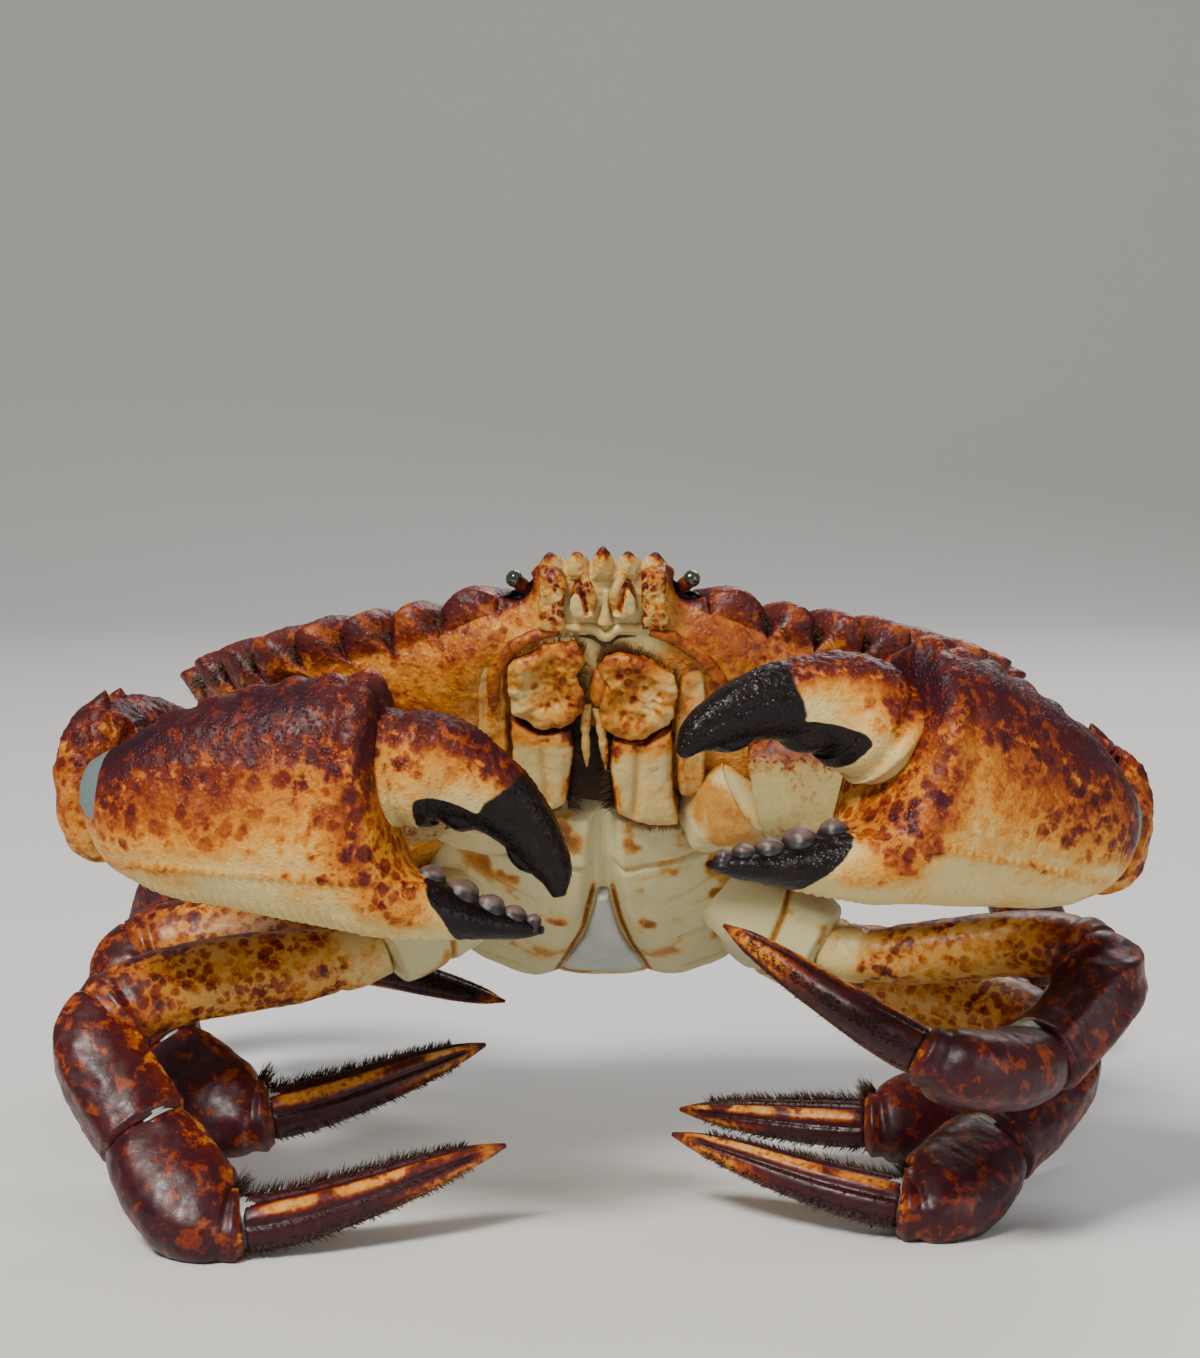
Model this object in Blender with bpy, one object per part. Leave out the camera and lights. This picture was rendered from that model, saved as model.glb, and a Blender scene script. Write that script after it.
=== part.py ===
"""A life-size rock crab, set down on its folded legs with its front reared up.

Lengths are in millimetres and become metres when a mesh is made. Two frames are used.
Body frame: x to the picture's right, f forward, d towards the back of the shell, zero at mid-shell.
World frame: x as above, y away from the viewer, z up from the floor.
Names use the animal's own sides: its left is on the picture's right, towards +X.
"""

import math

import bmesh
import bpy
import numpy as np

MM = 0.001
GAP = 0.3
MERGE_MM = 0.003

SHELL_DOME = 15.5
# How far the dome flattens into a brim towards its edge.
BRIM_FLATNESS = 1.25
SHELL_CENTRE = (0.0, -2.0)
PITCH = math.radians(34.0)
BODY_HEIGHT = 82.0
# The middle of the whole animal, legs included, lies ahead of mid-shell by this much.
STANCE_MIDDLE = 2.6
ORIGIN_SHIFT = np.array([0.0, -STANCE_MIDDLE, BODY_HEIGHT])

# Half outline of the shell from the front centre round to the rear centre.
# Each row: share along the half outline, margin x f d, then x f d of the rim where the underside begins.
SHELL_ROWS = [
    (0.00, 0.0, 41.5, -1.0, 0.0, 34.0, -8.5),
    (0.09, 8.0, 40.8, -1.0, 8.0, 34.0, -8.5),
    (0.14, 12.2, 35.8, -1.5, 12.5, 32.5, -9.5),
    (0.18, 15.5, 35.4, -2.2, 17.0, 31.0, -10.5),
    (0.24, 22.5, 32.4, -3.0, 18.5, 27.0, -13.0),
    (0.30, 30.0, 29.8, -3.8, 20.0, 22.0, -16.0),
    (0.44, 48.0, 23.4, -4.2, 22.0, 12.0, -22.0),
    (0.55, 60.0, 13.6, -2.2, 26.0, 3.0, -25.0),
    (0.66, 67.0, 1.0, 0.0, 32.0, -7.0, -26.0),
    (0.76, 58.0, -17.0, 1.5, 34.0, -18.0, -25.0),
    (0.86, 42.0, -32.0, 0.5, 31.0, -30.0, -21.0),
    (0.93, 27.0, -40.0, -2.0, 24.0, -38.0, -15.0),
    (1.00, 0.0, -42.5, -3.0, 0.0, -41.0, -13.0),
]
# Rise of each lobe's crown and fall of each notch beside it.
LOBE_RISE = 2.0
NOTCH_FALL = 1.6
# Places of the notches between the rounded lobes of the side edge.
NOTCHES = (0.185, 0.268, 0.33, 0.388, 0.447, 0.51, 0.565, 0.615, 0.665)
LOBE_DEPTH = 5.0
# Part of the lobe's depth that lies inside the smooth outline.
LOBE_SINK = 0.56
LOBE_FULLNESS = 0.55
FRONT_SHARE = 0.15
# Teeth between the eyes: middle x, half width, height.
FRONT_TEETH = [(0.0, 1.7, 4.0), (3.9, 1.9, 2.8), (8.2, 2.4, 3.0), (10.2, 2.6, 1.9)]

LEG_SHAPES = {
    # share along the segment, half thickness, half height
    "merus": [
        (0, 4.0, 4.8), (0.14, 4.6, 5.6), (0.2, 4.3, 5.5),
        (0.32, 4.9, 6.2), (0.9, 5.2, 6.6), (1, 4.8, 6.0),
    ],
    "carpus": [(0, 4.4, 5.3), (0.2, 5.4, 6.8), (0.6, 6.0, 7.6), (0.9, 6.0, 7.6), (1, 5.4, 6.9)],
    "propodus": [(0, 4.9, 6.2), (0.2, 6.0, 8.0), (0.55, 6.2, 8.6), (0.88, 5.2, 6.6), (1, 4.0, 4.8)],
    "dactyl": [
        (0, 3.3, 4.0), (0.12, 3.5, 4.3), (0.4, 3.0, 3.9),
        (0.8, 1.8, 2.3), (0.93, 1.0, 1.2), (1, 0.3, 0.35),
    ],
}
LEG_RINGS = {"merus": 8, "carpus": 6, "propodus": 7, "dactyl": 8}
LEG_SIDES = 10
SOCKET_DEPTH = 1.5
HIP_RADIUS = 7.4
ARM_HIP_RADIUS = 8.2
LEG_SIZES = {1: 1.0, 2: 0.98, 3: 0.9, 4: 0.84}

# Joint places in world x y z from the body's centre: root, ischium, knee, wrist, knuckle, tip.
LEG_JOINTS = {
    "leg_right_1": [
        (-17, -3.5, -32), (-36, -9.5, -41.5), (-78.8, -23.5, -50.5),
        (-70.5, -34, -66), (-54.5, -44, -77.6), (-15, -33.5, -68),
    ],
    "leg_right_2": [
        (-17, 4, -35), (-36, 4, -42), (-78.5, 10, -46.5),
        (-72.5, -0.5, -61.5), (-54, -11.5, -69), (-19.5, -0.5, -60),
    ],
    "leg_right_3": [
        (-16, 12, -36), (-35, 16, -41), (-67, 34, -46),
        (-68, 50, -54), (-49, 52, -56.5), (-17.7, 38.8, -61.5),
    ],
    "leg_right_4": [
        (-15, 19, -34), (-30, 28, -34), (-61, 50, -28),
        (-79, 63, -42), (-86, 70, -62), (-89, 80, -82.2),
    ],
    "leg_left_1": [
        (17, -3.5, -32), (36, -9.5, -42), (77.5, -24, -40),
        (66, -37, -53.5), (47, -49.5, -49.5), (18.5, -33.5, -33.5),
    ],
    "leg_left_2": [
        (17, 4, -35), (36, 5, -46.5), (74, -7, -58),
        (61.5, -22.5, -71), (46, -34.5, -77), (11, -21.5, -69.5),
    ],
    "leg_left_3": [
        (16, 12, -36), (35, 15, -45), (72, 22, -60),
        (62, 8, -70), (43.5, -3, -73), (13, 7, -73),
    ],
    "leg_left_4": [
        (15, 19, -34), (30, 28, -34), (61, 50, -30),
        (77, 63, -44), (85, 70, -63), (89.8, 80, -82.2),
    ],
}

# The big claw in its own frame: a towards the fingertips, h up the hand, t out of the hand's outer face.
# Each row: a, lowest h, highest h, inner t, outer t, squareness.
HAND_ROWS = [
    (0.0, -6.0, 4.5, -5.5, 6.0, 2.2),
    (3.0, -10.0, 6.2, -8.5, 8.8, 2.3),
    (11.0, -13.8, 11.2, -11.0, 12.0, 2.4),
    (26.0, -15.8, 17.2, -12.0, 13.0, 2.5),
    (38.5, -17.0, 19.6, -11.5, 12.5, 2.5),
    (42.6, -17.5, 18.0, -10.5, 12.0, 2.5),
    (44.8, -17.7, 6.0, -10.0, 11.0, 2.4),
    (47.2, -17.7, -3.5, -8.5, 9.5, 2.3),
    (54.5, -17.3, -9.3, -6.2, 6.4, 2.2),
    (61.0, -16.8, -12.2, -4.2, 4.2, 2.1),
    (65.8, -16.2, -13.4, -2.6, 2.4, 2.0),
    (68.0, -15.4, -14.3, -1.2, 1.0, 2.0),
]
HAND_SIDES = 16
KNOB_SINK = 0.2
# Rounded teeth on the fixed finger: place along a, radius.
KNOBS = [(51.8, 1.9), (56.2, 2.2), (60.2, 2.0), (63.6, 1.6), (66.2, 1.2)]
# The moving finger as if closed: a, middle h, half height, half thickness.
FINGER_ROWS = [
    (42.6, 6.4, 7.4, 5.8),
    (46.5, 7.0, 8.7, 7.0),
    (51.5, 7.0, 8.2, 6.8),
    (56.5, 5.4, 6.7, 5.7),
    (62.0, 1.7, 5.1, 4.6),
    (66.2, -3.3, 3.8, 3.6),
    (68.6, -7.6, 2.5, 2.5),
    (69.3, -10.6, 0.9, 0.9),
]
FINGER_SIDES = 12
HINGE = (46.0, 7.0)
BEND_START = 38.0
BEND = 0.0105
BEND_STRAIGHT = 58.0

# Each claw: palm root and elbow in world x y z, sense along x, turns of the hand and opening of its finger.
CLAWS = {
    "right": {
        "root": (-75.5, -42.0, -11.0),
        "elbow": (-63.0, -22.5, -9.5),
        "sense": 1,
        "lift": -4.5,
        "yaw": 12.0,
        "roll": 4.0,
        "open": 2.0,
    },
    "left": {
        "root": (76.5, -39.0, -16.2),
        "elbow": (63.0, -22.5, -15.0),
        "sense": -1,
        "lift": 9.0,
        "yaw": 34.5,
        "roll": 4.0,
        "open": 22.5,
    },
}
ARM_ROOT = (15.0, -15.5, -21.0)
ARM_START = (25.0, -23.0, -13.5)
# Sections of a limb's segment: share along it, half size across, half height.
WRIST_ROWS = [(0, 7.5, 5.5), (0.25, 10.5, 6.8), (0.6, 12.0, 7.2), (0.9, 11.2, 7.0), (1, 10.0, 6.2)]
ARM_ROWS = [(0, 7.0, 8.5), (0.3, 9.0, 11.5), (0.7, 9.5, 12.0), (1, 7.0, 9.5)]
HIP_ROWS = [(0, 0.7, 0.7), (0.3, 0.92, 0.92), (0.62, 1.0, 1.0), (0.94, 0.92, 0.92), (1, 0.6, 0.6)]

CAMERA_DIP = math.radians(6.0)
# Direction along x of the animal's own sides.
SIDES = {"right": -1, "left": 1}


def unit(v):
    v = np.asarray(v, float)
    return v / np.linalg.norm(v)


def body_to_world(points):
    """Body frame x f d to world x y z, pitched up at the front."""
    p = np.atleast_2d(np.asarray(points, float))
    c, s = math.cos(PITCH), math.sin(PITCH)
    return np.stack([p[:, 0], -c * p[:, 1] + s * p[:, 2], s * p[:, 1] + c * p[:, 2]], 1)


def smooth_rows(rows, at):
    """Cubic through rows whose first column is the place, read at the given places."""
    rows = np.asarray(rows, float)
    x, y = rows[:, 0], rows[:, 1:]
    slope = np.gradient(y, x, axis=0)
    chord = np.diff(y, axis=0) / np.diff(x)[:, None]
    # Slopes are held back where the run turns, so that no section overshoots its neighbours.
    for i in range(1, len(x) - 1):
        turns = chord[i - 1] * chord[i] <= 0
        slope[i] = np.where(turns, 0.0, slope[i])
        most = 3 * np.minimum(abs(chord[i - 1]), abs(chord[i]))
        slope[i] = np.clip(slope[i], -most, most)
    at = np.clip(np.asarray(at, float), x[0], x[-1])
    i = np.clip(np.searchsorted(x, at, side="right") - 1, 0, len(x) - 2)
    h = (x[i + 1] - x[i])[:, None]
    u = ((at - x[i]) / h[:, 0])[:, None]
    return (
        (2 * u**3 - 3 * u**2 + 1) * y[i]
        + (u**3 - 2 * u**2 + u) * h * slope[i]
        + (3 * u**2 - 2 * u**3) * y[i + 1]
        + (u**3 - u**2) * h * slope[i + 1]
    )


def rings_mesh(rings):
    """Closed surface through rings of equal length, with a fan at each end."""
    rings = np.asarray(rings, float)
    n, m, _ = rings.shape
    points = list(rings.reshape(-1, 3)) + [rings[0].mean(0), rings[-1].mean(0)]
    faces = []
    for i in range(n - 1):
        for j in range(m):
            k = (j + 1) % m
            faces.append((i * m + j, i * m + k, (i + 1) * m + k, (i + 1) * m + j))
    for j in range(m):
        k = (j + 1) % m
        faces.append((n * m, k, j))
        faces.append((n * m + 1, (n - 1) * m + j, (n - 1) * m + k))
    return np.array(points), faces


def rounded(turns, half_p, half_q_up, half_q_down, power):
    """Points of a rounded section at the given turns, p across and q up."""
    c, s = np.cos(turns), np.sin(turns)
    p = half_p * np.sign(c) * np.abs(c) ** (2 / power)
    q = np.where(s > 0, half_q_up, half_q_down) * np.sign(s) * np.abs(s) ** (2 / power)
    return p, q


def section(count, half_p, half_q_up, half_q_down, power):
    """Points evenly round a rounded section, none of them on its axes."""
    turns = np.linspace(0, 2 * math.pi, count, endpoint=False) + math.pi / count
    return rounded(turns, half_p, half_q_up, half_q_down, power)


def path_points(points, first, last, count):
    """Places and directions along a smooth path, leaving and arriving in the given directions."""
    p = np.asarray(points, float)
    reach = np.concatenate([[0], np.cumsum(np.linalg.norm(np.diff(p, axis=0), axis=1))])
    tangent = np.empty_like(p)
    tangent[0], tangent[-1] = unit(first), unit(last)
    for i in range(1, len(p) - 1):
        tangent[i] = unit(unit(p[i + 1] - p[i]) + unit(p[i] - p[i - 1]))
    at = np.linspace(0, reach[-1], count)
    i = np.clip(np.searchsorted(reach, at, side="right") - 1, 0, len(p) - 2)
    h = (reach[i + 1] - reach[i])[:, None]
    u = ((at - reach[i]) / h[:, 0])[:, None]
    place = (
        (2 * u**3 - 3 * u**2 + 1) * p[i]
        + (u**3 - 2 * u**2 + u) * h * tangent[i]
        + (3 * u**2 - 2 * u**3) * p[i + 1]
        + (u**3 - u**2) * h * tangent[i + 1]
    )
    slope = (
        (6 * u**2 - 6 * u) * (p[i] - p[i + 1])
        + (3 * u**2 - 4 * u + 1) * h * tangent[i]
        + (3 * u**2 - 2 * u) * h * tangent[i + 1]
    )
    return place, slope / np.linalg.norm(slope, axis=1)[:, None]


def limb(points, first, last, side, rows, size, rings, sides, power=2.3):
    """A segment of a limb: rounded sections along a smooth path, thin across side."""
    place, way = path_points(points, first, last, rings)
    shape = smooth_rows(rows, np.linspace(0, 1, rings)) * size
    loops = []
    for i in range(rings):
        across = unit(np.asarray(side) - np.dot(side, way[i]) * way[i])
        up = np.cross(way[i], across)
        p, q = section(sides, shape[i, 0], shape[i, 1], shape[i, 1], power)
        loops.append(place[i] + p[:, None] * across + q[:, None] * up)
    return rings_mesh(loops)


def make_material(name, colour, roughness):
    material = bpy.data.materials.get(name)
    if material is None:
        material = bpy.data.materials.new(name)
        material.use_nodes = True
        shader = material.node_tree.nodes["Principled BSDF"]
        shader.inputs["Base Color"].default_value = (*colour, 1.0)
        shader.inputs["Roughness"].default_value = roughness
        shader.inputs["Metallic"].default_value = 0.0
    return material


MATERIALS = {
    "shell": ((0.40, 0.10, 0.03), 0.35),
    "belly": ((0.80, 0.70, 0.50), 0.45),
    "claw": ((0.62, 0.24, 0.07), 0.35),
    "finger_tip": ((0.03, 0.02, 0.02), 0.3),
    "leg": ((0.30, 0.07, 0.04), 0.35),
    "mouth": ((0.70, 0.42, 0.16), 0.5),
    "eye": ((0.05, 0.06, 0.03), 0.1),
}


def add_node(name, mesh, slot):
    """A mesh given in world millimetres from the body's centre becomes a named object in metres."""
    points, faces = mesh
    points = np.asarray(points, float) + ORIGIN_SHIFT
    points[:, 2] = np.maximum(points[:, 2], 0.0)
    data = bpy.data.meshes.new(name)
    data.from_pydata([tuple(p) for p in points * MM], [], faces)
    shape = bmesh.new()
    shape.from_mesh(data)
    if shape.calc_volume(signed=True) < 0:
        bmesh.ops.reverse_faces(shape, faces=shape.faces[:])
    bmesh.ops.triangulate(shape, faces=shape.faces[:])
    shape.to_mesh(data)
    shape.free()
    data.shade_smooth()
    obj = bpy.data.objects.new(name, data)
    obj.data.materials.append(make_material(slot, *MATERIALS[slot]))
    bpy.context.scene.collection.objects.link(obj)
    return obj


def grown_copy(obj, by=GAP):
    """A hidden copy of an object, swollen along its normals, to cut a neighbour clear of it."""
    data = obj.data.copy()
    normals = [v.normal.copy() for v in data.vertices]
    for v, n in zip(data.vertices, normals):
        v.co += n * by * MM
    copy = bpy.data.objects.new(obj.name + "_grown", data)
    bpy.context.scene.collection.objects.link(copy)
    copy.hide_render = True
    copy.display_type = "WIRE"
    return copy


def keep_largest(data):
    """Drops every loose scrap of a mesh but its largest closed surface."""
    shape = bmesh.new()
    shape.from_mesh(data)
    bmesh.ops.remove_doubles(shape, verts=shape.verts[:], dist=MERGE_MM * MM)
    bmesh.ops.dissolve_degenerate(shape, edges=shape.edges[:], dist=MERGE_MM * MM)
    left, groups = set(shape.faces), []
    while left:
        group, front = [], [left.pop()]
        while front:
            face = front.pop()
            group.append(face)
            for edge in face.edges:
                beside = [other for other in edge.link_faces if other in left]
                left.difference_update(beside)
                front.extend(beside)
        groups.append(group)
    groups.sort(key=len, reverse=True)
    for group in groups[1:]:
        bmesh.ops.delete(shape, geom=group, context="FACES")
    bmesh.ops.triangulate(shape, faces=shape.faces[:])
    shape.to_mesh(data)
    shape.free()


def apply_boolean(obj, others, operation, solver="MANIFOLD"):
    """Joins or cuts an object by others, applies the result and removes the others."""
    group = bpy.data.collections.new("operands")
    for other in others:
        group.objects.link(other)
    modifier = obj.modifiers.new("join", "BOOLEAN")
    modifier.operation = operation
    modifier.operand_type = "COLLECTION"
    modifier.collection = group
    modifier.solver = solver
    bpy.context.view_layer.update()
    graph = bpy.context.evaluated_depsgraph_get()
    data = bpy.data.meshes.new_from_object(obj.evaluated_get(graph))
    obj.modifiers.clear()
    obj.data = data
    keep_largest(data)
    data.shade_smooth()
    for other in others:
        bpy.data.objects.remove(other)
    bpy.data.collections.remove(group)


def clear_of(obj, *neighbours):
    for neighbour in neighbours:
        apply_boolean(obj, [grown_copy(neighbour)], "DIFFERENCE")


def lobe_shares():
    """Places along the half outline that catch every lobe's notch, shoulders and crown."""
    front = [0.0, 0.010, 0.0195, 0.0225, 0.033, 0.044, 0.055, 0.066, 0.079, 0.0925, 0.106, 0.12]
    orbit = [0.135, 0.16, 0.175]
    lobes = [a + part * (b - a) for a, b in zip(NOTCHES, NOTCHES[1:]) for part in (0.0, 0.2, 0.5, 0.8)]
    rear = list(np.linspace(NOTCHES[-1], 1.0, 13))
    return np.array(front + orbit + lobes + rear)


def lobe_height(share):
    """The scalloped edge's own height: 0 at the notches and 1 at each lobe's crown."""
    inside = (share >= NOTCHES[0]) & (share <= NOTCHES[-1])
    turn = np.interp(share, NOTCHES, np.arange(len(NOTCHES)))
    return np.where(inside, np.abs(np.sin(math.pi * turn)) ** LOBE_FULLNESS, 0.0)


def margin_growth(share, x):
    """How far the toothed edge stands out from the smooth outline."""
    inside = (share >= NOTCHES[0]) & (share <= NOTCHES[-1])
    out = np.where(inside, LOBE_DEPTH * (lobe_height(share) - LOBE_SINK), 0.0)
    front = share < FRONT_SHARE
    for middle, half, tall in FRONT_TEETH:
        off = (np.abs(x) - middle) / half
        tooth = tall * np.clip(1 - np.abs(off) ** 1.5, 0, 1)
        out = np.where(front & (np.abs(off) < 1), np.maximum(out, tooth), out)
    return out


def shell_rings(shares, dorsal, ventral):
    """Rings of the upper shell from the crown of the dome, over the toothed edge, to the underside's rim."""
    rows = smooth_rows(SHELL_ROWS, shares)
    margin, rim = rows[:, 0:3], rows[:, 3:6]
    ahead = np.gradient(margin[:, :2], axis=0)
    normal = np.stack([-ahead[:, 1], ahead[:, 0]], 1)
    normal /= np.linalg.norm(normal, axis=1)[:, None]
    normal[np.sum(normal * (margin[:, :2] - SHELL_CENTRE), axis=1) < 0] *= -1
    normal[shares < FRONT_SHARE] = (0.0, 1.0)
    teeth = margin_growth(shares, margin[:, 0])[:, None] * normal
    lobe = lobe_height(shares)
    scalloped = (NOTCHES[0] - 0.02, NOTCHES[0], NOTCHES[-1], NOTCHES[-1] + 0.02)
    notch = (1 - lobe) * np.interp(shares, scalloped, (0, 1, 1, 0))
    centre = np.array(SHELL_CENTRE)
    rings = []
    steepness = np.interp(shares, (0.0, 0.6, 0.85), (1.45, 1.6, 2.4))
    for v in dorsal:
        plan = centre + v * (margin[:, :2] - centre)
        fade = np.clip((v - 0.86) / 0.14, 0, 1)
        plan = plan + teeth * fade
        edge = np.clip((v - 0.82) / 0.18, 0, 1)
        height = margin[:, 2] * v**2 + SHELL_DOME * (1 - v**steepness) ** BRIM_FLATNESS
        height = height + LOBE_RISE * lobe * np.sin(math.pi * edge) - NOTCH_FALL * notch * min(edge / 0.5, 1)
        rings.append(np.column_stack([plan, height]))
    for v in ventral:
        fade = np.clip(1 - v / 0.14, 0, 1)
        belly = (3.2 * math.sin(math.pi * v) * np.clip((shares - 0.12) / 0.12, 0, 1))[:, None]
        plan = margin[:, :2] * (1 - v) + rim[:, :2] * v + teeth * fade + 0.5 * belly * normal
        height = margin[:, 2] * (1 - v) + rim[:, 2] * v - 0.85 * belly[:, 0] - 1.6 * min(v / 0.14, 1)
        height = height - NOTCH_FALL * notch * max(1 - v / 0.3, 0)
        rings.append(np.column_stack([plan, height]))
    return rings


def mirrored_ring(half):
    """A whole ring from its half on the picture's right."""
    other = half[1:-1][::-1] * (-1, 1, 1)
    return np.vstack([half, other])


def shell_mesh():
    shares = lobe_shares()
    rings = shell_rings(shares, (0.12, 0.42, 0.7, 0.9, 1.0), (0.14, 0.4, 0.75, 1.0))
    whole = [mirrored_ring(r) for r in rings]
    points, faces = rings_mesh(whole)
    return body_to_world(points), faces


# Sections of the breast plate: f, half width above and below, lowest and highest d, half width of its valley.
BREAST_ROWS = [
    (7.0, 10.0, 9.0, -28.0, -20.0, 2.0),
    (3.0, 17.0, 12.5, -31.0, -18.0, 2.2),
    (-6.0, 25.0, 15.0, -35.0, -17.0, 3.0),
    (-18.0, 29.0, 17.0, -38.6, -16.0, 5.5),
    (-29.0, 30.0, 20.0, -39.6, -14.0, 8.4),
    (-36.5, 26.0, 19.0, -33.0, -11.0, 9.0),
    (-42.0, 17.0, 14.0, -20.0, -9.0, 9.0),
]
VALLEY_DEPTH = 2.6
BREAST_SQUARENESS = 3.1
BREAST_SIDES = 24
# The section's points crowd towards the valley by this power.
BREAST_CROWDING = 1.8


def breast_rings(at, sides):
    """Sections with sloping flanks and a shallow valley down the middle of the underside."""
    half = math.pi * np.linspace(0, 1, sides // 2 + 1) ** BREAST_CROWDING
    turns = np.concatenate([half, -half[1:-1][::-1]]) - math.pi / 2
    rings = []
    for f, (wide, narrow, low, high, valley) in zip(at, smooth_rows(sorted(BREAST_ROWS), at)):
        middle = (low + high) / 2
        p, q = rounded(turns, 1.0, high - middle, middle - low, BREAST_SQUARENESS)
        below = np.clip(-q / (middle - low), 0, 1)
        p = p * (wide + (narrow - wide) * below)
        q = q + VALLEY_DEPTH * below * np.exp(-((p / valley) ** 4))
        rings.append(np.column_stack([p, np.full(len(p), f), middle + q]))
    return rings


def breast_mesh():
    at = np.linspace(BREAST_ROWS[-1][0], BREAST_ROWS[0][0], 12)
    points, faces = rings_mesh(breast_rings(at, BREAST_SIDES))
    return body_to_world(points), faces


# The tail flap folded under: f, d of its outer face, half width.
TAIL_FLAP_ROWS = [
    (0.0, -6.8, -35.4, 0.8),
    (0.2, -15.5, -37.5, 2.4),
    (0.45, -22.5, -38.8, 4.8),
    (0.7, -28.8, -38.6, 6.8),
]
TAIL_ROWS = [
    (0.0, -29.4, -38.6, 7.4),
    (0.2, -34.3, -36.6, 7.8),
    (0.45, -39.8, -30.0, 9.0),
    (0.7, -43.6, -21.5, 11.0),
    (1.0, -45.4, -13.5, 13.0),
]
TAIL_THICKNESS = 2.4


def flap_mesh(rows, count):
    """A plate that follows the belly's curve, thin across it."""
    share = np.array([r[0] for r in rows])
    at = np.linspace(share[0], share[-1], count)
    line = smooth_rows(rows, at)
    way = np.gradient(line[:, :2], axis=0)
    way /= np.linalg.norm(way, axis=1)[:, None]
    rings = []
    for (f, d, half), (wf, wd) in zip(line, way):
        inward = np.array([-wd, wf])
        if inward @ (np.array([-20.0, -20.0]) - (f, d)) < 0:
            inward = -inward
        p, q = section(10, half, TAIL_THICKNESS / 2, TAIL_THICKNESS / 2, 3.0)
        q = q + TAIL_THICKNESS / 2
        rings.append(np.column_stack([p, f + q * inward[0], d + q * inward[1]]))
    points, faces = rings_mesh(rings)
    return body_to_world(points), faces


MOUTH_TOP = (31.5, -10.0)
MOUTH_LOW = (5.5, -28.5)
# Outlines in the mouth plane, x out from the slit and m down from the top edge, for either side.
JAW_PLATES = {
    "jaw_upper": [
        (1.2, 1.2), (2.2, -0.5), (5.0, -0.9), (8.2, 0.3), (12.8, 3.1), (12.6, 7.2),
        (12.0, 11.2), (8.0, 14.0), (3.8, 13.3), (1.6, 11.2), (1.3, 8.8), (2.6, 4.6),
    ],
    "jaw_lower": [
        (3.4, 14.1), (8.3, 14.9), (12.4, 12.1), (12.3, 18.0), (12.7, 24.0),
        (13.4, 29.0), (8.9, 29.3), (4.0, 27.2), (2.9, 18.0),
    ],
    "jaw_side": [
        (13.8, 3.6), (16.6, 2.0), (17.3, 4.0), (17.2, 12.2),
        (17.3, 24.6), (14.2, 24.8), (13.3, 17.5), (13.4, 10.0),
    ],
}
# The jaws stand closed a little to one side of the middle, the left one a little lower.
JAW_SHIFT = -1.75
JAW_DROP = {"right": -0.8, "left": 1.0}
# Back and front of each plate, measured out from its plane, and how far its middle swells.
JAW_DEPTHS = {"jaw_upper": (-2.5, 2.0), "jaw_lower": (-2.5, 2.4), "jaw_side": (-2.5, 0.6)}
JAW_CROWN = 0.7
ANTENNA_DEPTHS = (-2.5, 1.0)
ANTENNA_CROWN = 0.5
ANTENNULE_DEPTHS = (-2.5, 1.4)
ANTENNULE_CROWN = 0.8


def plane_frame(top, low):
    """Origin, downward and outward axes in f d of a plane that slopes from top to low."""
    top, low = np.array(top), np.array(low)
    down = unit(low - top)
    out = np.array([-down[1], down[0]])
    return top, down, (out if out[1] < 0 else -out)


def plate_mesh(outline, depths, frame, crown, side, shift=(0.0, 0.0)):
    """A crowned plate standing on a sloped plane."""
    top, down, out = frame
    outline = np.array(outline, float) * (side, 1) + shift
    middle = outline.mean(0)
    low, high = depths
    rings = []
    for inset, depth in ((1.0, low), (1.0, high - 1.0), (0.93, high), (0.55, high + crown)):
        flat = middle + (outline - middle) * inset
        f_d = top + flat[:, 1:2] * down + depth * out
        rings.append(np.column_stack([flat[:, 0], f_d]))
    points, faces = rings_mesh(rings)
    return body_to_world(points), faces


FACE_TOP = (41.5, -4.6)
FACE_LOW = (32.5, -10.6)
ANTENNA_OUTLINE = [(5.7, -0.4), (7.3, -2.2), (9.3, -1.8), (9.7, 2.4), (9.8, 7.6), (5.9, 7.8), (5.8, 3.5)]
ANTENNULE_OUTLINE = [
    (0.8, 3.8), (1.2, 1.2), (2.6, -0.4), (4.2, 0.2), (5.1, 1.8),
    (5.3, 3.9), (4.6, 5.2), (2.7, 5.7), (1.2, 5.0),
]

EYE_PLACE = (13.2, 36.4, -1.3)
EYE_WAY = (0.6, 0.75, 0.15)
EYE_ROWS = [
    (0, 0.9, 0.9), (0.35, 1.2, 1.2), (0.55, 1.1, 1.1),
    (0.75, 1.35, 1.35), (0.92, 1.0, 1.0), (1, 0.4, 0.4),
]
EYE_LENGTH = 4.4


def eye_mesh(side):
    place = np.array(EYE_PLACE) * (side, 1, 1)
    way = unit(np.array(EYE_WAY) * (side, 1, 1))
    ends = body_to_world([place - way * EYE_LENGTH * 0.6, place + way * EYE_LENGTH * 0.4])
    direction = unit(ends[1] - ends[0])
    return limb(ends, direction, direction, (0, 0, 1), EYE_ROWS, 1.0, 8, 10, 2.0)


def hip_mesh(root, end, radius):
    """The short first block of a limb, fused into the breast."""
    way = unit(np.subtract(end, root))
    side = np.cross(way, (0, 0, 1.0))
    return limb([root, end], way, way, side, HIP_ROWS, radius, 6, 10)


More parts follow.
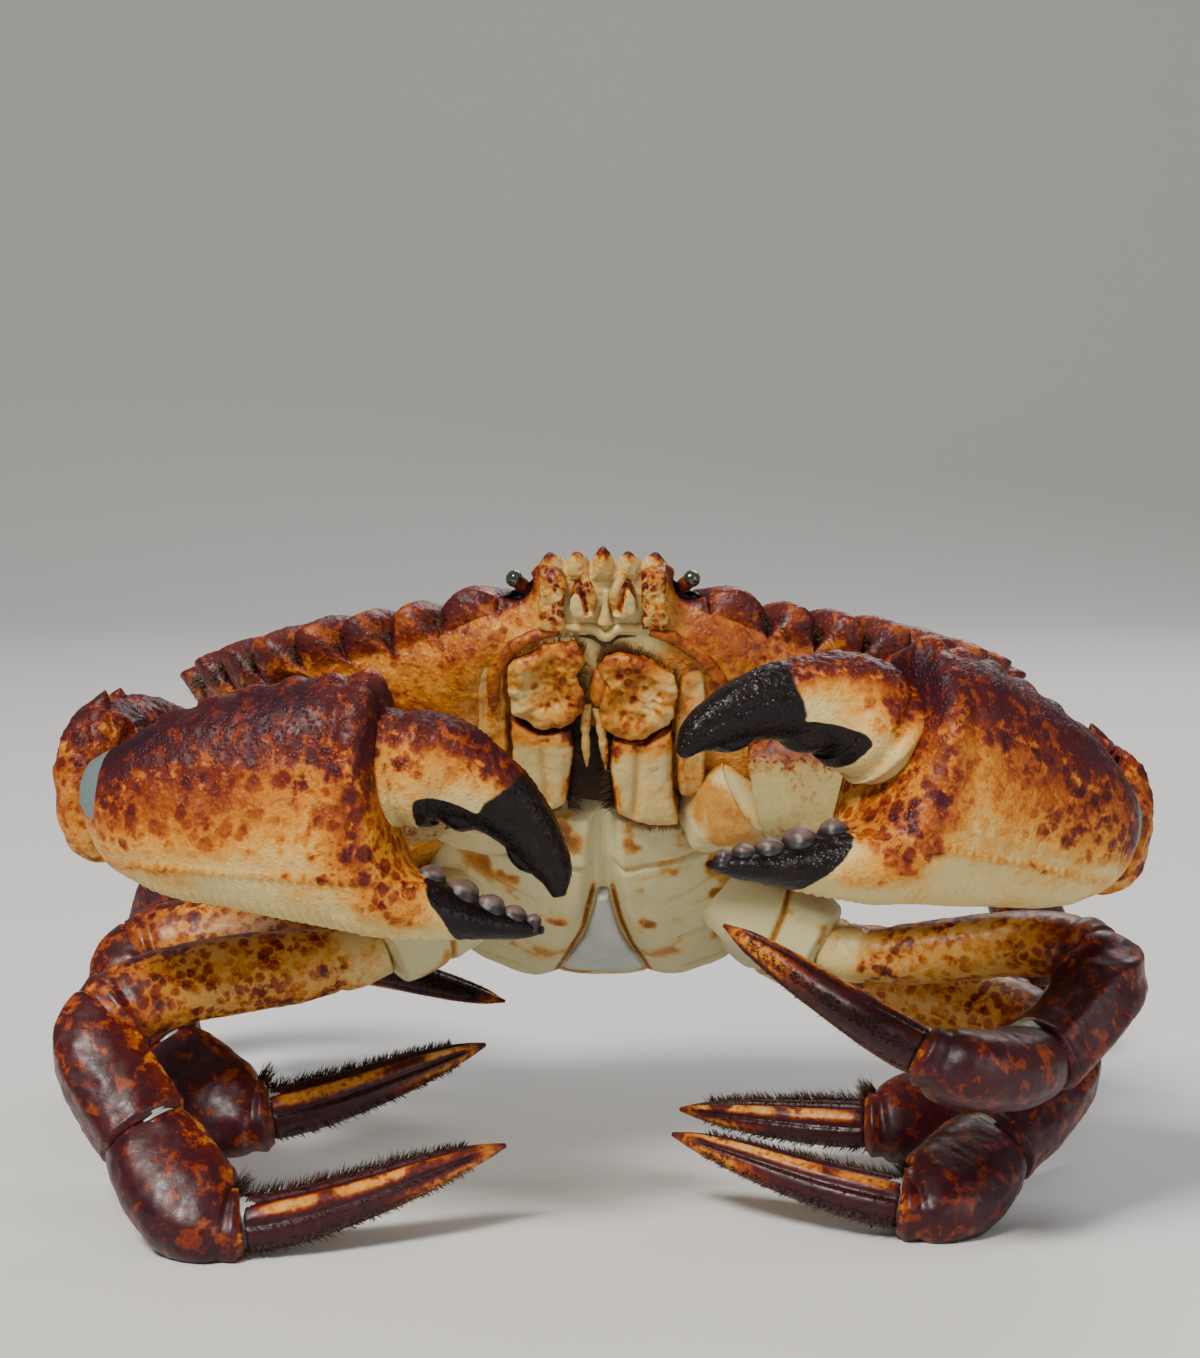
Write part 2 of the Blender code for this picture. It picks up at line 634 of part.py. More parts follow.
def leg_meshes(name):
    """The four segments of a walking leg as meshes, parted at planes across the joints."""
    joints = np.array(LEG_JOINTS[name], float)
    size = LEG_SIZES[int(name[-1])]
    ways = [unit(b - a) for a, b in zip(joints[:-1], joints[1:])]
    side = unit(np.cross(ways[1], ways[3]))
    cuts = {
        2: unit(0.7 * ways[1] + 0.3 * ways[2]),
        3: unit(ways[2] + ways[3]),
        4: unit(0.2 * ways[3] + 0.8 * ways[4]),
    }
    spans = {
        "merus": ([1, 2], unit(ways[0] + ways[1]), cuts[2]),
        "carpus": ([2, 3], cuts[2], cuts[3]),
        "propodus": ([3, 4], cuts[3], cuts[4]),
        "dactyl": ([4, 5], cuts[4], ways[4]),
    }
    made = {}
    for part, (ids, first, last) in spans.items():
        points = joints[ids].copy()
        if part != "merus":
            points[0] -= first * SOCKET_DEPTH
        made[part] = limb(points, first, last, side, LEG_SHAPES[part], size, LEG_RINGS[part], LEG_SIDES)
    return made


def make_leg(name, neighbours):
    """The leg's nodes from the body outwards, each cut clear of the one before it."""
    nodes = []
    for part, mesh in leg_meshes(name).items():
        node = add_node(f"{name}_{part}", mesh, "leg")
        clear_of(node, *(nodes[-1:] or neighbours))
        nodes.append(node)
    return nodes


def hand_bend(a):
    """How far the fingers curve towards the mouth."""
    run = np.clip(np.asarray(a, float) - BEND_START, 0, None)
    straight = BEND_STRAIGHT - BEND_START
    beyond = BEND * straight**2 + 2 * BEND * straight * (run - straight)
    return -np.where(run < straight, BEND * run**2, beyond)


def claw_axes(claw):
    """World directions of the hand's a, h and t axes."""
    sense = claw["sense"]
    lift, yaw, roll = (math.radians(claw[k]) for k in ("lift", "yaw", "roll"))
    toward = np.array([0.0, -math.cos(CAMERA_DIP), math.sin(CAMERA_DIP)])
    up = np.array([0.0, math.sin(CAMERA_DIP), math.cos(CAMERA_DIP)])
    across = np.array([float(sense), 0.0, 0.0])
    a = math.cos(lift) * (math.cos(yaw) * across + math.sin(yaw) * toward) + math.sin(lift) * up
    t = unit(math.cos(yaw) * toward - math.sin(yaw) * across)
    h = unit(up - np.dot(up, a) * a - np.dot(up, t) * t)
    turn_h = math.cos(roll) * h - math.sin(roll) * t
    turn_t = math.cos(roll) * t + math.sin(roll) * h
    return unit(a), turn_h, turn_t


def claw_to_world(points, claw):
    a, h, t = claw_axes(claw)
    p = np.asarray(points, float)
    return np.array(claw["root"]) + p[:, :1] * a + p[:, 1:2] * h + p[:, 2:] * t


def hand_rings(count, sides):
    """Sections of the palm and fixed finger, closest together at the step between them."""
    base = [r[0] for r in HAND_ROWS]
    at = np.array(base) if count is None else np.linspace(base[0], base[-1], count)
    rows = smooth_rows(HAND_ROWS, at)
    rings = []
    for a, (low, high, inner, outer, power) in zip(at, rows):
        middle, centre = (low + high) / 2, (inner + outer) / 2
        p, q = section(sides, (outer - inner) / 2, high - middle, middle - low, power)
        rings.append(np.column_stack([np.full(sides, a), middle + q, centre + p + hand_bend(a)]))
    return rings


def open_finger(points, degrees):
    """Turns the moving finger about its hinge, across the hand."""
    angle = math.radians(degrees)
    p = np.array(points, float)
    a, h = p[:, 0] - HINGE[0], p[:, 1] - HINGE[1]
    p[:, 0] = HINGE[0] + a * math.cos(angle) - h * math.sin(angle)
    p[:, 1] = HINGE[1] + a * math.sin(angle) + h * math.cos(angle)
    return p


def finger_rings(sides):
    rows = np.array(FINGER_ROWS)
    line = rows[:, :2]
    way = np.gradient(line, axis=0)
    way /= np.linalg.norm(way, axis=1)[:, None]
    rings = []
    for (a, h, tall, thick), (wa, wh) in zip(rows, way):
        p, q = section(sides, thick, tall, tall, 2.2)
        rings.append(np.column_stack([a - q * wh, h + q * wa, p + hand_bend(a)]))
    return rings


def ball_object(name, centre, radius):
    """A small closed ball in world millimetres, to be fused into a node."""
    shape = bmesh.new()
    bmesh.ops.create_icosphere(shape, subdivisions=1, radius=radius * MM)
    bmesh.ops.translate(shape, verts=shape.verts[:], vec=(np.asarray(centre) + ORIGIN_SHIFT) * MM)
    data = bpy.data.meshes.new(name)
    shape.to_mesh(data)
    shape.free()
    ball = bpy.data.objects.new(name, data)
    bpy.context.scene.collection.objects.link(ball)
    ball.hide_render = True
    return ball


def make_claw(side):
    """Arm, wrist, hand with its fixed finger, and moving finger."""
    claw = CLAWS[side]
    out = -claw["sense"]
    points, faces = rings_mesh(hand_rings(None, HAND_SIDES))
    hand = add_node(f"claw_{side}_hand", (claw_to_world(points, claw), faces), "claw")
    rows = smooth_rows(HAND_ROWS, [a for a, _ in KNOBS])
    balls = []
    for (a, radius), row in zip(KNOBS, rows):
        spot = (a, row[1] - KNOB_SINK * radius, (row[2] + row[3]) / 2 + float(hand_bend(a)))
        balls.append(ball_object(f"knob_{a:.0f}", claw_to_world([spot], claw)[0], radius))
    apply_boolean(hand, balls, "UNION")
    points, faces = rings_mesh(finger_rings(FINGER_SIDES))
    points = claw_to_world(open_finger(points, claw["open"]), claw)
    finger = add_node(f"claw_{side}_finger", (points, faces), "finger_tip")
    clear_of(finger, hand)

    root = np.array(claw["root"])
    elbow = np.array(claw["elbow"])
    a, h, t = claw_axes(claw)
    wrist = limb([elbow, root + a * 1.5], (out, -0.1, 0.0), unit(a + t), (0, 0, 1.0), WRIST_ROWS, 1.0, 7, 12)
    wrist = add_node(f"claw_{side}_wrist", wrist, "claw")
    clear_of(wrist, hand)
    start = np.array(ARM_START) * (out, 1, 1)
    arm = limb([start, elbow], (out, -0.3, 0.2), (out, 0.0, 0.0), (0, 1.0, 0), ARM_ROWS, 1.0, 7, 10)
    arm = add_node(f"claw_{side}_arm", arm, "belly")
    clear_of(arm, wrist, hand)
    return hand, finger, wrist, arm


def build():
    for obj in list(bpy.data.objects):
        bpy.data.objects.remove(obj)
    limbs = []
    for name in LEG_JOINTS:
        beside = [other for other in limbs if other.name.startswith(name[:-1])]
        limbs.append(make_leg(name, beside[-1:])[0])
    for side in CLAWS:
        limbs.append(make_claw(side)[3])

    shell = add_node("shell", shell_mesh(), "shell")
    eyes = [add_node(f"eye_{word}", eye_mesh(side), "eye") for word, side in SIDES.items()]
    clear_of(shell, *eyes, *limbs)

    face = plane_frame(FACE_TOP, FACE_LOW)
    mouth = plane_frame(MOUTH_TOP, MOUTH_LOW)
    jaws = []
    for word, side in SIDES.items():
        antenna = plate_mesh(ANTENNA_OUTLINE, ANTENNA_DEPTHS, face, ANTENNA_CROWN, side)
        antenna = add_node(f"antenna_{word}", antenna, "mouth")
        antennule = plate_mesh(ANTENNULE_OUTLINE, ANTENNULE_DEPTHS, face, ANTENNULE_CROWN, side)
        antennule = add_node(f"antennule_{word}", antennule, "belly")
        clear_of(antenna, shell)
        clear_of(antennule, shell)
        for part, outline in JAW_PLATES.items():
            shift = (JAW_SHIFT, JAW_DROP[word])
            jaw = plate_mesh(outline, JAW_DEPTHS[part], mouth, JAW_CROWN, side, shift)
            jaw = add_node(f"{part}_{word}", jaw, "mouth")
            clear_of(jaw, shell, *limbs[-2:])
            jaws.append(jaw)

    flap = add_node("tail_tip", flap_mesh(TAIL_FLAP_ROWS, 7), "belly")
    tail = add_node("tail", flap_mesh(TAIL_ROWS, 9), "belly")
    clear_of(tail, flap, shell)
    breast = add_node("breast", breast_mesh(), "belly")
    hips = []
    for name, joints in LEG_JOINTS.items():
        hips.append((joints[0], joints[1], HIP_RADIUS * LEG_SIZES[int(name[-1])]))
    for side in SIDES.values():
        ends = [np.array(p) * (side, 1, 1) for p in (ARM_ROOT, ARM_START)]
        hips.append((*ends, ARM_HIP_RADIUS))
    for number, (root, end, radius) in enumerate(hips):
        hip = add_node(f"hip_{number}", hip_mesh(root, end, radius), "belly")
        apply_boolean(breast, [hip], "UNION")
    clear_of(breast, shell, flap, tail, *jaws, *limbs)


build()
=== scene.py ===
"""A life-size rock crab, with its grained shell, mottled claws and hair-fringed legs.

Lengths are in millimetres from the middle of the shell and become metres when a mesh is made.
Body frame: x to the picture's right, f forward, d towards the back of the shell.
World frame: x as above, y away from the viewer, z up.
"""

import math

import bpy
import numpy as np
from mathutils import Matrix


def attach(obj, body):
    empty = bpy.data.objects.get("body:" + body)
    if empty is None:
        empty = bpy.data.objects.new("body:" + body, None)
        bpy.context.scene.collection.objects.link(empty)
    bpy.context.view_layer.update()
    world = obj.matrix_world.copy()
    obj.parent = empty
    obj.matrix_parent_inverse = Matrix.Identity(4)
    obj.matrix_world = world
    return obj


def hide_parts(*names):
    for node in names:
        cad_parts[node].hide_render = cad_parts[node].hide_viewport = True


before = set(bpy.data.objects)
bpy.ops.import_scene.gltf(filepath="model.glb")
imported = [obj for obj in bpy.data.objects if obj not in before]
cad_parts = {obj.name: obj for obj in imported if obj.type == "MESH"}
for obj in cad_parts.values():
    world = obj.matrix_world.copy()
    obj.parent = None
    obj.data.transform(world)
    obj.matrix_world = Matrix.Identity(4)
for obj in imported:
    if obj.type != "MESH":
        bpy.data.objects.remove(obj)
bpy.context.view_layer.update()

MM = 0.001
PITCH = math.radians(34.0)
BODY_HEIGHT = 82.0
STANCE_MIDDLE = 2.6
ORIGIN_SHIFT = np.array([0.0, -STANCE_MIDDLE, BODY_HEIGHT])
CAMERA_DIP = math.radians(6.0)

SHELL_DOME = 15.5
BRIM_FLATNESS = 1.25
LOBE_RISE = 2.0
NOTCH_FALL = 1.6
SHELL_CENTRE = (0.0, -2.0)
# Half outline from front to rear: share of the way, the edge's x, f and d, and the lower rim's x, f and d.
SHELL_ROWS = [
    (0.00, 0.0, 41.5, -1.0, 0.0, 34.0, -8.5),
    (0.09, 8.0, 40.8, -1.0, 8.0, 34.0, -8.5),
    (0.14, 12.2, 35.8, -1.5, 12.5, 32.5, -9.5),
    (0.18, 15.5, 35.4, -2.2, 17.0, 31.0, -10.5),
    (0.24, 22.5, 32.4, -3.0, 18.5, 27.0, -13.0),
    (0.30, 30.0, 29.8, -3.8, 20.0, 22.0, -16.0),
    (0.44, 48.0, 23.4, -4.2, 22.0, 12.0, -22.0),
    (0.55, 60.0, 13.6, -2.2, 26.0, 3.0, -25.0),
    (0.66, 67.0, 1.0, 0.0, 32.0, -7.0, -26.0),
    (0.76, 58.0, -17.0, 1.5, 34.0, -18.0, -25.0),
    (0.86, 42.0, -32.0, 0.5, 31.0, -30.0, -21.0),
    (0.93, 27.0, -40.0, -2.0, 24.0, -38.0, -15.0),
    (1.00, 0.0, -42.5, -3.0, 0.0, -41.0, -13.0),
]
NOTCHES = (0.185, 0.268, 0.33, 0.388, 0.447, 0.51, 0.565, 0.615, 0.665)
LOBE_DEPTH = 5.0
LOBE_SINK = 0.56
LOBE_FULLNESS = 0.55
FRONT_SHARE = 0.15
# Distance from the middle, half width and height of each tooth between the eyes.
FRONT_TEETH = [(0.0, 1.7, 4.0), (3.9, 1.9, 2.8), (8.2, 2.4, 3.0), (10.2, 2.6, 1.9)]

# Share along the segment, half thickness and half height.
LEG_SHAPES = {
    "merus": [
        (0, 4.0, 4.8), (0.14, 4.6, 5.6), (0.2, 4.3, 5.5),
        (0.32, 4.9, 6.2), (0.9, 5.2, 6.6), (1, 4.8, 6.0),
    ],
    "carpus": [(0, 4.4, 5.3), (0.2, 5.4, 6.8), (0.6, 6.0, 7.6), (0.9, 6.0, 7.6), (1, 5.4, 6.9)],
    "propodus": [(0, 4.9, 6.2), (0.2, 6.0, 8.0), (0.55, 6.2, 8.6), (0.88, 5.2, 6.6), (1, 4.0, 4.8)],
    "dactyl": [
        (0, 3.3, 4.0), (0.12, 3.5, 4.3), (0.4, 3.0, 3.9),
        (0.8, 1.8, 2.3), (0.93, 1.0, 1.2), (1, 0.3, 0.35),
    ],
}
LEG_RINGS = {"merus": 110, "carpus": 70, "propodus": 80, "dactyl": 120}
LEG_SIDES = 72
LEG_SIZES = {1: 1.0, 2: 0.98, 3: 0.9, 4: 0.84}
# Place round the last segment, from 1 on its inner edge to -1 on its outer, number of hairs and their length.
FRINGES = ((1.0, 620, 3.0), (0.86, 260, 1.9), (-1.0, 300, 1.6), (0.5, 200, 1.1), (-0.5, 240, 1.1))
SOCKET_DEPTH = 1.5
HIP_RADIUS = 7.4
ARM_HIP_RADIUS = 8.2
# Each leg's points in world axes, from the body to the tip.
LEG_JOINTS = {
    "leg_right_1": [
        (-17, -3.5, -32), (-36, -9.5, -41.5), (-78.8, -23.5, -50.5),
        (-70.5, -34, -66), (-54.5, -44, -77.6), (-15, -33.5, -68),
    ],
    "leg_right_2": [
        (-17, 4, -35), (-36, 4, -42), (-78.5, 10, -46.5),
        (-72.5, -0.5, -61.5), (-54, -11.5, -69), (-19.5, -0.5, -60),
    ],
    "leg_right_3": [
        (-16, 12, -36), (-35, 16, -41), (-67, 34, -46),
        (-68, 50, -54), (-49, 52, -56.5), (-17.7, 38.8, -61.5),
    ],
    "leg_right_4": [
        (-15, 19, -34), (-30, 28, -34), (-61, 50, -28),
        (-79, 63, -42), (-86, 70, -62), (-89, 80, -82.2),
    ],
    "leg_left_1": [
        (17, -3.5, -32), (36, -9.5, -42), (77.5, -24, -40),
        (66, -37, -53.5), (47, -49.5, -49.5), (18.5, -33.5, -33.5),
    ],
    "leg_left_2": [
        (17, 4, -35), (36, 5, -46.5), (74, -7, -58),
        (61.5, -22.5, -71), (46, -34.5, -77), (11, -21.5, -69.5),
    ],
    "leg_left_3": [
        (16, 12, -36), (35, 15, -45), (72, 22, -60),
        (62, 8, -70), (43.5, -3, -73), (13, 7, -73),
    ],
    "leg_left_4": [
        (15, 19, -34), (30, 28, -34), (61, 50, -30),
        (77, 63, -44), (85, 70, -63), (89.8, 80, -82.2),
    ],
}

# The claw's own frame: a towards the fingertips, h up the hand, t out of its outer face.
# Rows of the palm and fixed finger: a, lowest h, highest h, inner t, outer t, squareness.
HAND_ROWS = [
    (0.0, -6.0, 4.5, -5.5, 6.0, 2.2),
    (3.0, -10.0, 6.2, -8.5, 8.8, 2.3),
    (11.0, -13.8, 11.2, -11.0, 12.0, 2.4),
    (26.0, -15.8, 17.2, -12.0, 13.0, 2.5),
    (38.5, -17.0, 19.6, -11.5, 12.5, 2.5),
    (42.6, -17.5, 18.0, -10.5, 12.0, 2.5),
    (44.8, -17.7, 6.0, -10.0, 11.0, 2.4),
    (47.2, -17.7, -3.5, -8.5, 9.5, 2.3),
    (54.5, -17.3, -9.3, -6.2, 6.4, 2.2),
    (61.0, -16.8, -12.2, -4.2, 4.2, 2.1),
    (65.8, -16.2, -13.4, -2.6, 2.4, 2.0),
    (68.0, -15.4, -14.3, -1.2, 1.0, 2.0),
]
KNOB_SINK = 0.2
# Place along a and radius of each blunt tooth.
KNOBS = [(51.8, 1.9), (56.2, 2.2), (60.2, 2.0), (63.6, 1.6), (66.2, 1.2)]
# Rows of the movable finger: a and h of its middle line, half height, half thickness.
FINGER_ROWS = [
    (42.6, 6.4, 7.4, 5.8),
    (46.5, 7.0, 8.7, 7.0),
    (51.5, 7.0, 8.2, 6.8),
    (56.5, 5.4, 6.7, 5.7),
    (62.0, 1.7, 5.1, 4.6),
    (66.2, -3.3, 3.8, 3.6),
    (68.6, -7.6, 2.5, 2.5),
    (69.3, -10.6, 0.9, 0.9),
]
HINGE = (46.0, 7.0)
BEND_START = 38.0
BEND = 0.0105
BEND_STRAIGHT = 58.0
# The hand's root and the elbow in world axes, the way a runs, and the hand's turns in degrees.
CLAWS = {
    "right": {
        "root": (-75.5, -42.0, -11.0),
        "elbow": (-63.0, -22.5, -9.5),
        "sense": 1,
        "lift": -4.5,
        "yaw": 12.0,
        "roll": 4.0,
        "open": 2.0,
    },
    "left": {
        "root": (76.5, -39.0, -16.2),
        "elbow": (63.0, -22.5, -15.0),
        "sense": -1,
        "lift": 9.0,
        "yaw": 34.5,
        "roll": 4.0,
        "open": 22.5,
    },
}
# The left arm's two ends in world axes.
ARM_ROOT = (15.0, -15.5, -21.0)
ARM_START = (25.0, -23.0, -13.5)
WRIST_ROWS = [(0, 7.5, 5.5), (0.25, 10.5, 6.8), (0.6, 12.0, 7.2), (0.9, 11.2, 7.0), (1, 10.0, 6.2)]
SPINE_RADIUS = 2.2
ARM_ROWS = [(0, 7.0, 8.5), (0.3, 9.0, 11.5), (0.7, 9.5, 12.0), (1, 7.0, 9.5)]
HIP_ROWS = [(0, 0.7, 0.7), (0.3, 0.92, 0.92), (0.62, 1.0, 1.0), (0.94, 0.92, 0.92), (1, 0.6, 0.6)]

# f, widest half, half at the bottom, lowest d, highest d, and half width of the valley for the tail flap.
BREAST_ROWS = [
    (7.0, 10.0, 9.0, -28.0, -20.0, 2.0),
    (3.0, 17.0, 12.5, -31.0, -18.0, 2.2),
    (-6.0, 25.0, 15.0, -35.0, -17.0, 3.0),
    (-18.0, 29.0, 17.0, -38.6, -16.0, 5.5),
    (-29.0, 30.0, 20.0, -39.6, -14.0, 8.4),
    (-36.5, 26.0, 19.0, -33.0, -11.0, 9.0),
    (-42.0, 17.0, 14.0, -20.0, -9.0, 9.0),
]
# Share of the way, f, d and half width.
TAIL_FLAP_ROWS = [
    (0.0, -6.8, -35.4, 0.8),
    (0.2, -15.5, -37.5, 2.4),
    (0.45, -22.5, -38.8, 4.8),
    (0.7, -28.8, -38.6, 6.8),
]
TAIL_ROWS = [
    (0.0, -29.4, -38.6, 7.4),
    (0.2, -34.3, -36.6, 7.8),
    (0.45, -39.8, -30.0, 9.0),
    (0.7, -43.6, -21.5, 11.0),
    (1.0, -45.4, -13.5, 13.0),
]
# f at the middle, slant, depth and distance from the middle of each groove between the breast's plates.
BREAST_GROOVES = (
    (-1.5, 0.20, 1.0, 1.0), (-13.0, 0.55, 0.5, 9.0),
    (-22.0, 0.45, 0.8, 11.0), (-30.0, 0.34, 0.8, 12.0),
)
TAIL_THICKNESS = 2.4
VALLEY_DEPTH = 2.6
BREAST_SQUARENESS = 3.1
BREAST_CROWDING = 1.8

MOUTH_TOP = (31.5, -10.0)
MOUTH_LOW = (5.5, -28.5)
JAW_SHIFT = -1.75
JAW_DROP = {"right": -0.8, "left": 1.0}
# Corners of the left plates: x outwards and m down the mouth's plane.
JAW_PLATES = {
    "jaw_upper": [
        (1.2, 1.2), (2.2, -0.5), (5.0, -0.9), (8.2, 0.3), (12.8, 3.1), (12.6, 7.2),
        (12.0, 11.2), (8.0, 14.0), (3.8, 13.3), (1.6, 11.2), (1.3, 8.8), (2.6, 4.6),
    ],
    "jaw_lower": [
        (3.4, 14.1), (8.3, 14.9), (12.4, 12.1), (12.3, 18.0), (12.7, 24.0),
        (13.4, 29.0), (8.9, 29.3), (4.0, 27.2), (2.9, 18.0),
    ],
    "jaw_side": [
        (13.8, 3.6), (16.6, 2.0), (17.3, 4.0), (17.2, 12.2),
        (17.3, 24.6), (14.2, 24.8), (13.3, 17.5), (13.4, 10.0),
    ],
}
JAW_DEPTHS = {"jaw_upper": (-2.5, 2.0), "jaw_lower": (-2.5, 2.4), "jaw_side": (-2.5, 0.6)}
JAW_CROWN = 0.7
ANTENNA_DEPTHS = (-2.5, 1.0)
ANTENNULE_DEPTHS = (-2.5, 1.4)
ANTENNA_CROWN = 0.5
ANTENNULE_CROWN = 0.8
FACE_TOP = (41.5, -4.6)
FACE_LOW = (32.5, -10.6)
ANTENNA_OUTLINE = [(5.7, -0.4), (7.3, -2.2), (9.3, -1.8), (9.7, 2.4), (9.8, 7.6), (5.9, 7.8), (5.8, 3.5)]
ANTENNULE_OUTLINE = [
    (0.8, 3.8), (1.2, 1.2), (2.6, -0.4), (4.2, 0.2), (5.1, 1.8),
    (5.3, 3.9), (4.6, 5.2), (2.7, 5.7), (1.2, 5.0),
]
ANTENNULE_ROWS = [(0, 0.5, 0.5), (0.6, 0.72, 0.72), (0.93, 0.6, 0.6), (1, 0.25, 0.25)]
PALP_ROWS = [
    (0, 0.75, 0.75), (0.35, 0.8, 0.8), (0.45, 0.6, 0.6),
    (0.55, 0.75, 0.75), (0.8, 0.5, 0.5), (1, 0.12, 0.12),
]
KNOB_ROWS = [(0, 0.6, 0.6), (0.3, 1.5, 1.4), (0.7, 1.6, 1.4), (1, 0.7, 0.7)]
FRAME_ROWS = [(0, 0.7, 0.7), (0.2, 1.1, 1.1), (0.8, 1.0, 1.0), (1, 0.6, 0.6)]
# Soft rods of the mouth and brow: name, depth, points x and m, rows of half sizes, tone.
MOUTH_RODS = [
    ("palate", -0.6,
     [(-11.5, 0.2), (-7.0, -1.8), (-2.4, -1.9), (0.4, -0.8), (3.5, -1.9), (8.0, -1.7), (12.8, 0.6)],
     [(0, 0.6, 1.2), (0.5, 1.4, 2.0), (1, 0.6, 1.2)], 0.02),
    # The brow's slit is a thin dark rod: painted shade in the slit.
    ("brow_slit", 0.4,
     [(-5.0, 8.9), (-1.6, 9.1), (0.35, 10.2), (2.2, 9.1), (5.0, 8.9)],
     [(0, 0.1, 0.1), (0.5, 0.42, 0.42), (1, 0.1, 0.1)], 0.9),
    ("mouth_frame_right", 1.4,
     [(-16.8, 9.5), (-16.4, 3.5), (-13.6, -0.4), (-10.2, -2.4), (-6.8, -3.2)], FRAME_ROWS, 0.42),
    ("mouth_frame_left", 1.4,
     [(19.0, 7.6), (16.6, 3.0), (13.6, 0.1), (10.4, -2.0), (7.2, -3.0)], FRAME_ROWS, 0.42),
    ("mouth_brow", 0.2,
     [(-6.0, 7.2), (-4.6, 7.6), (-1.4, 7.8), (0.35, 9.0), (2.2, 7.8), (5.3, 7.6), (6.4, 7.2)],
     [(0, 0.5, 0.5), (0.5, 0.9, 0.9), (1, 0.5, 0.5)], 0.04),
    ("brow_pillar", 0.3,
     [(0.4, 1.2), (0.4, 3.4), (0.4, 6.6)],
     [(0, 0.35, 0.5), (0.6, 0.6, 0.8), (1, 1.3, 1.0)], 0.05),
]
EYE_PLACE = (13.2, 36.4, -1.3)
EYE_WAY = (0.6, 0.75, 0.15)
EYE_LENGTH = 4.4

SIDES = (("right", -1), ("left", 1))


def unit(v):
    v = np.asarray(v, float)
    return v / np.linalg.norm(v)


def units(rows):
    """Each row made one long."""
    return rows / np.linalg.norm(rows, axis=1)[:, None]


def lengths_along(points):
    """How far along a line of points each of them lies."""
    return np.concatenate([[0], np.cumsum(np.linalg.norm(np.diff(points, axis=0), axis=1))])


def hermite(u, h, here, slope, after, next_slope):
    """A cubic between two values and their slopes, h apart, at the share u of the way."""
    return (
        (2 * u**3 - 3 * u**2 + 1) * here
        + (u**3 - 2 * u**2 + u) * h * slope
        + (3 * u**2 - 2 * u**3) * after
        + (u**3 - u**2) * h * next_slope
    )


def smoothstep(low, high, x):
    t = np.clip((np.asarray(x, float) - low) / (high - low), 0, 1)
    return t * t * (3 - 2 * t)


def ridge(x, width):
    """A smooth hump: 1 where x is 0, and nearly 0 beyond twice the width."""
    return np.exp(-((x / width) ** 2))


def lattice(i, seed):
    """A repeatable number from 0 to 1 for each whole-numbered place."""
    n = i[..., 0].astype(np.int64) * 73856093
    n ^= i[..., 1].astype(np.int64) * 19349663
    n ^= i[..., 2].astype(np.int64) * 83492791
    n = (n + seed * 9973) & 0x7FFFFFFF
    n = ((n ^ (n >> 13)) * 60493 + 19990303) & 0x7FFFFFFF
    n = ((n ^ (n >> 15)) * 24593 + 7477) & 0x7FFFFFFF
    return ((n ^ (n >> 11)) & 0xFFFF) / 65535.0


def noise(points, size, seed=0):
    """Smooth noise from -1 to 1 whose lumps are about size across."""
    p = points / size
    i = np.floor(p)
    u = p - i
    u = u * u * (3 - 2 * u)
    total = 0.0
    for dx in (0, 1):
        for dy in (0, 1):
            for dz in (0, 1):
                weight = (u[:, 0] if dx else 1 - u[:, 0]) * (u[:, 1] if dy else 1 - u[:, 1])
                weight = weight * (u[:, 2] if dz else 1 - u[:, 2])
                total = total + weight * lattice(i + (dx, dy, dz), seed)
    return 2 * total - 1


def rough(points, size, seed=0):
    """Noise in three layers, each half the size of the last and weaker."""
    return sum(noise(points, size / 2**k, seed + 17 * k) * 0.55**k for k in range(3))


def grains(points, size, seed=0, radius=0.62):
    """Rounded granules of uneven height, from 0 to 1, about size apart."""
    p = points / size
    i = np.floor(p)
    best = np.zeros(len(p))
    for dx in (-1, 0, 1):
        for dy in (-1, 0, 1):
            for dz in (-1, 0, 1):
                cell = i + (dx, dy, dz)
                place = np.stack([lattice(cell, seed + k) for k in (1, 2, 3)], 1)
                away = np.sum((p - cell - place) ** 2, axis=1)
                tall = 0.5 + 0.5 * lattice(cell, seed + 4)
                best = np.maximum(best, tall * (1 - away / radius**2))
    return np.clip(best, 0, 1)


def body_to_world(points):
    p = np.atleast_2d(np.asarray(points, float))
    c, s = math.cos(PITCH), math.sin(PITCH)
    return np.stack([p[:, 0], -c * p[:, 1] + s * p[:, 2], s * p[:, 1] + c * p[:, 2]], 1)


def smooth_rows(rows, at):
    """Cubic through rows whose first column is the place, read at the given places."""
    rows = np.asarray(rows, float)
    x, y = rows[:, 0], rows[:, 1:]
    slope = np.gradient(y, x, axis=0)
    chord = np.diff(y, axis=0) / np.diff(x)[:, None]
    for i in range(1, len(x) - 1):
        turns = chord[i - 1] * chord[i] <= 0
        slope[i] = np.where(turns, 0.0, slope[i])
        most = 3 * np.minimum(abs(chord[i - 1]), abs(chord[i]))
        slope[i] = np.clip(slope[i], -most, most)
    at = np.clip(np.asarray(at, float), x[0], x[-1])
    i = np.clip(np.searchsorted(x, at, side="right") - 1, 0, len(x) - 2)
    h = (x[i + 1] - x[i])[:, None]
    u = ((at - x[i]) / h[:, 0])[:, None]
    return hermite(u, h, y[i], slope[i], y[i + 1], slope[i + 1])


def section(count, half_p, half_q_up, half_q_down, power):
    a = np.linspace(0, 2 * math.pi, count, endpoint=False) + math.pi / count
    c, s = np.cos(a), np.sin(a)
    p = half_p * np.sign(c) * np.abs(c) ** (2 / power)
    q = np.where(s > 0, half_q_up, half_q_down) * np.sign(s) * np.abs(s) ** (2 / power)
    return p, q, c, s


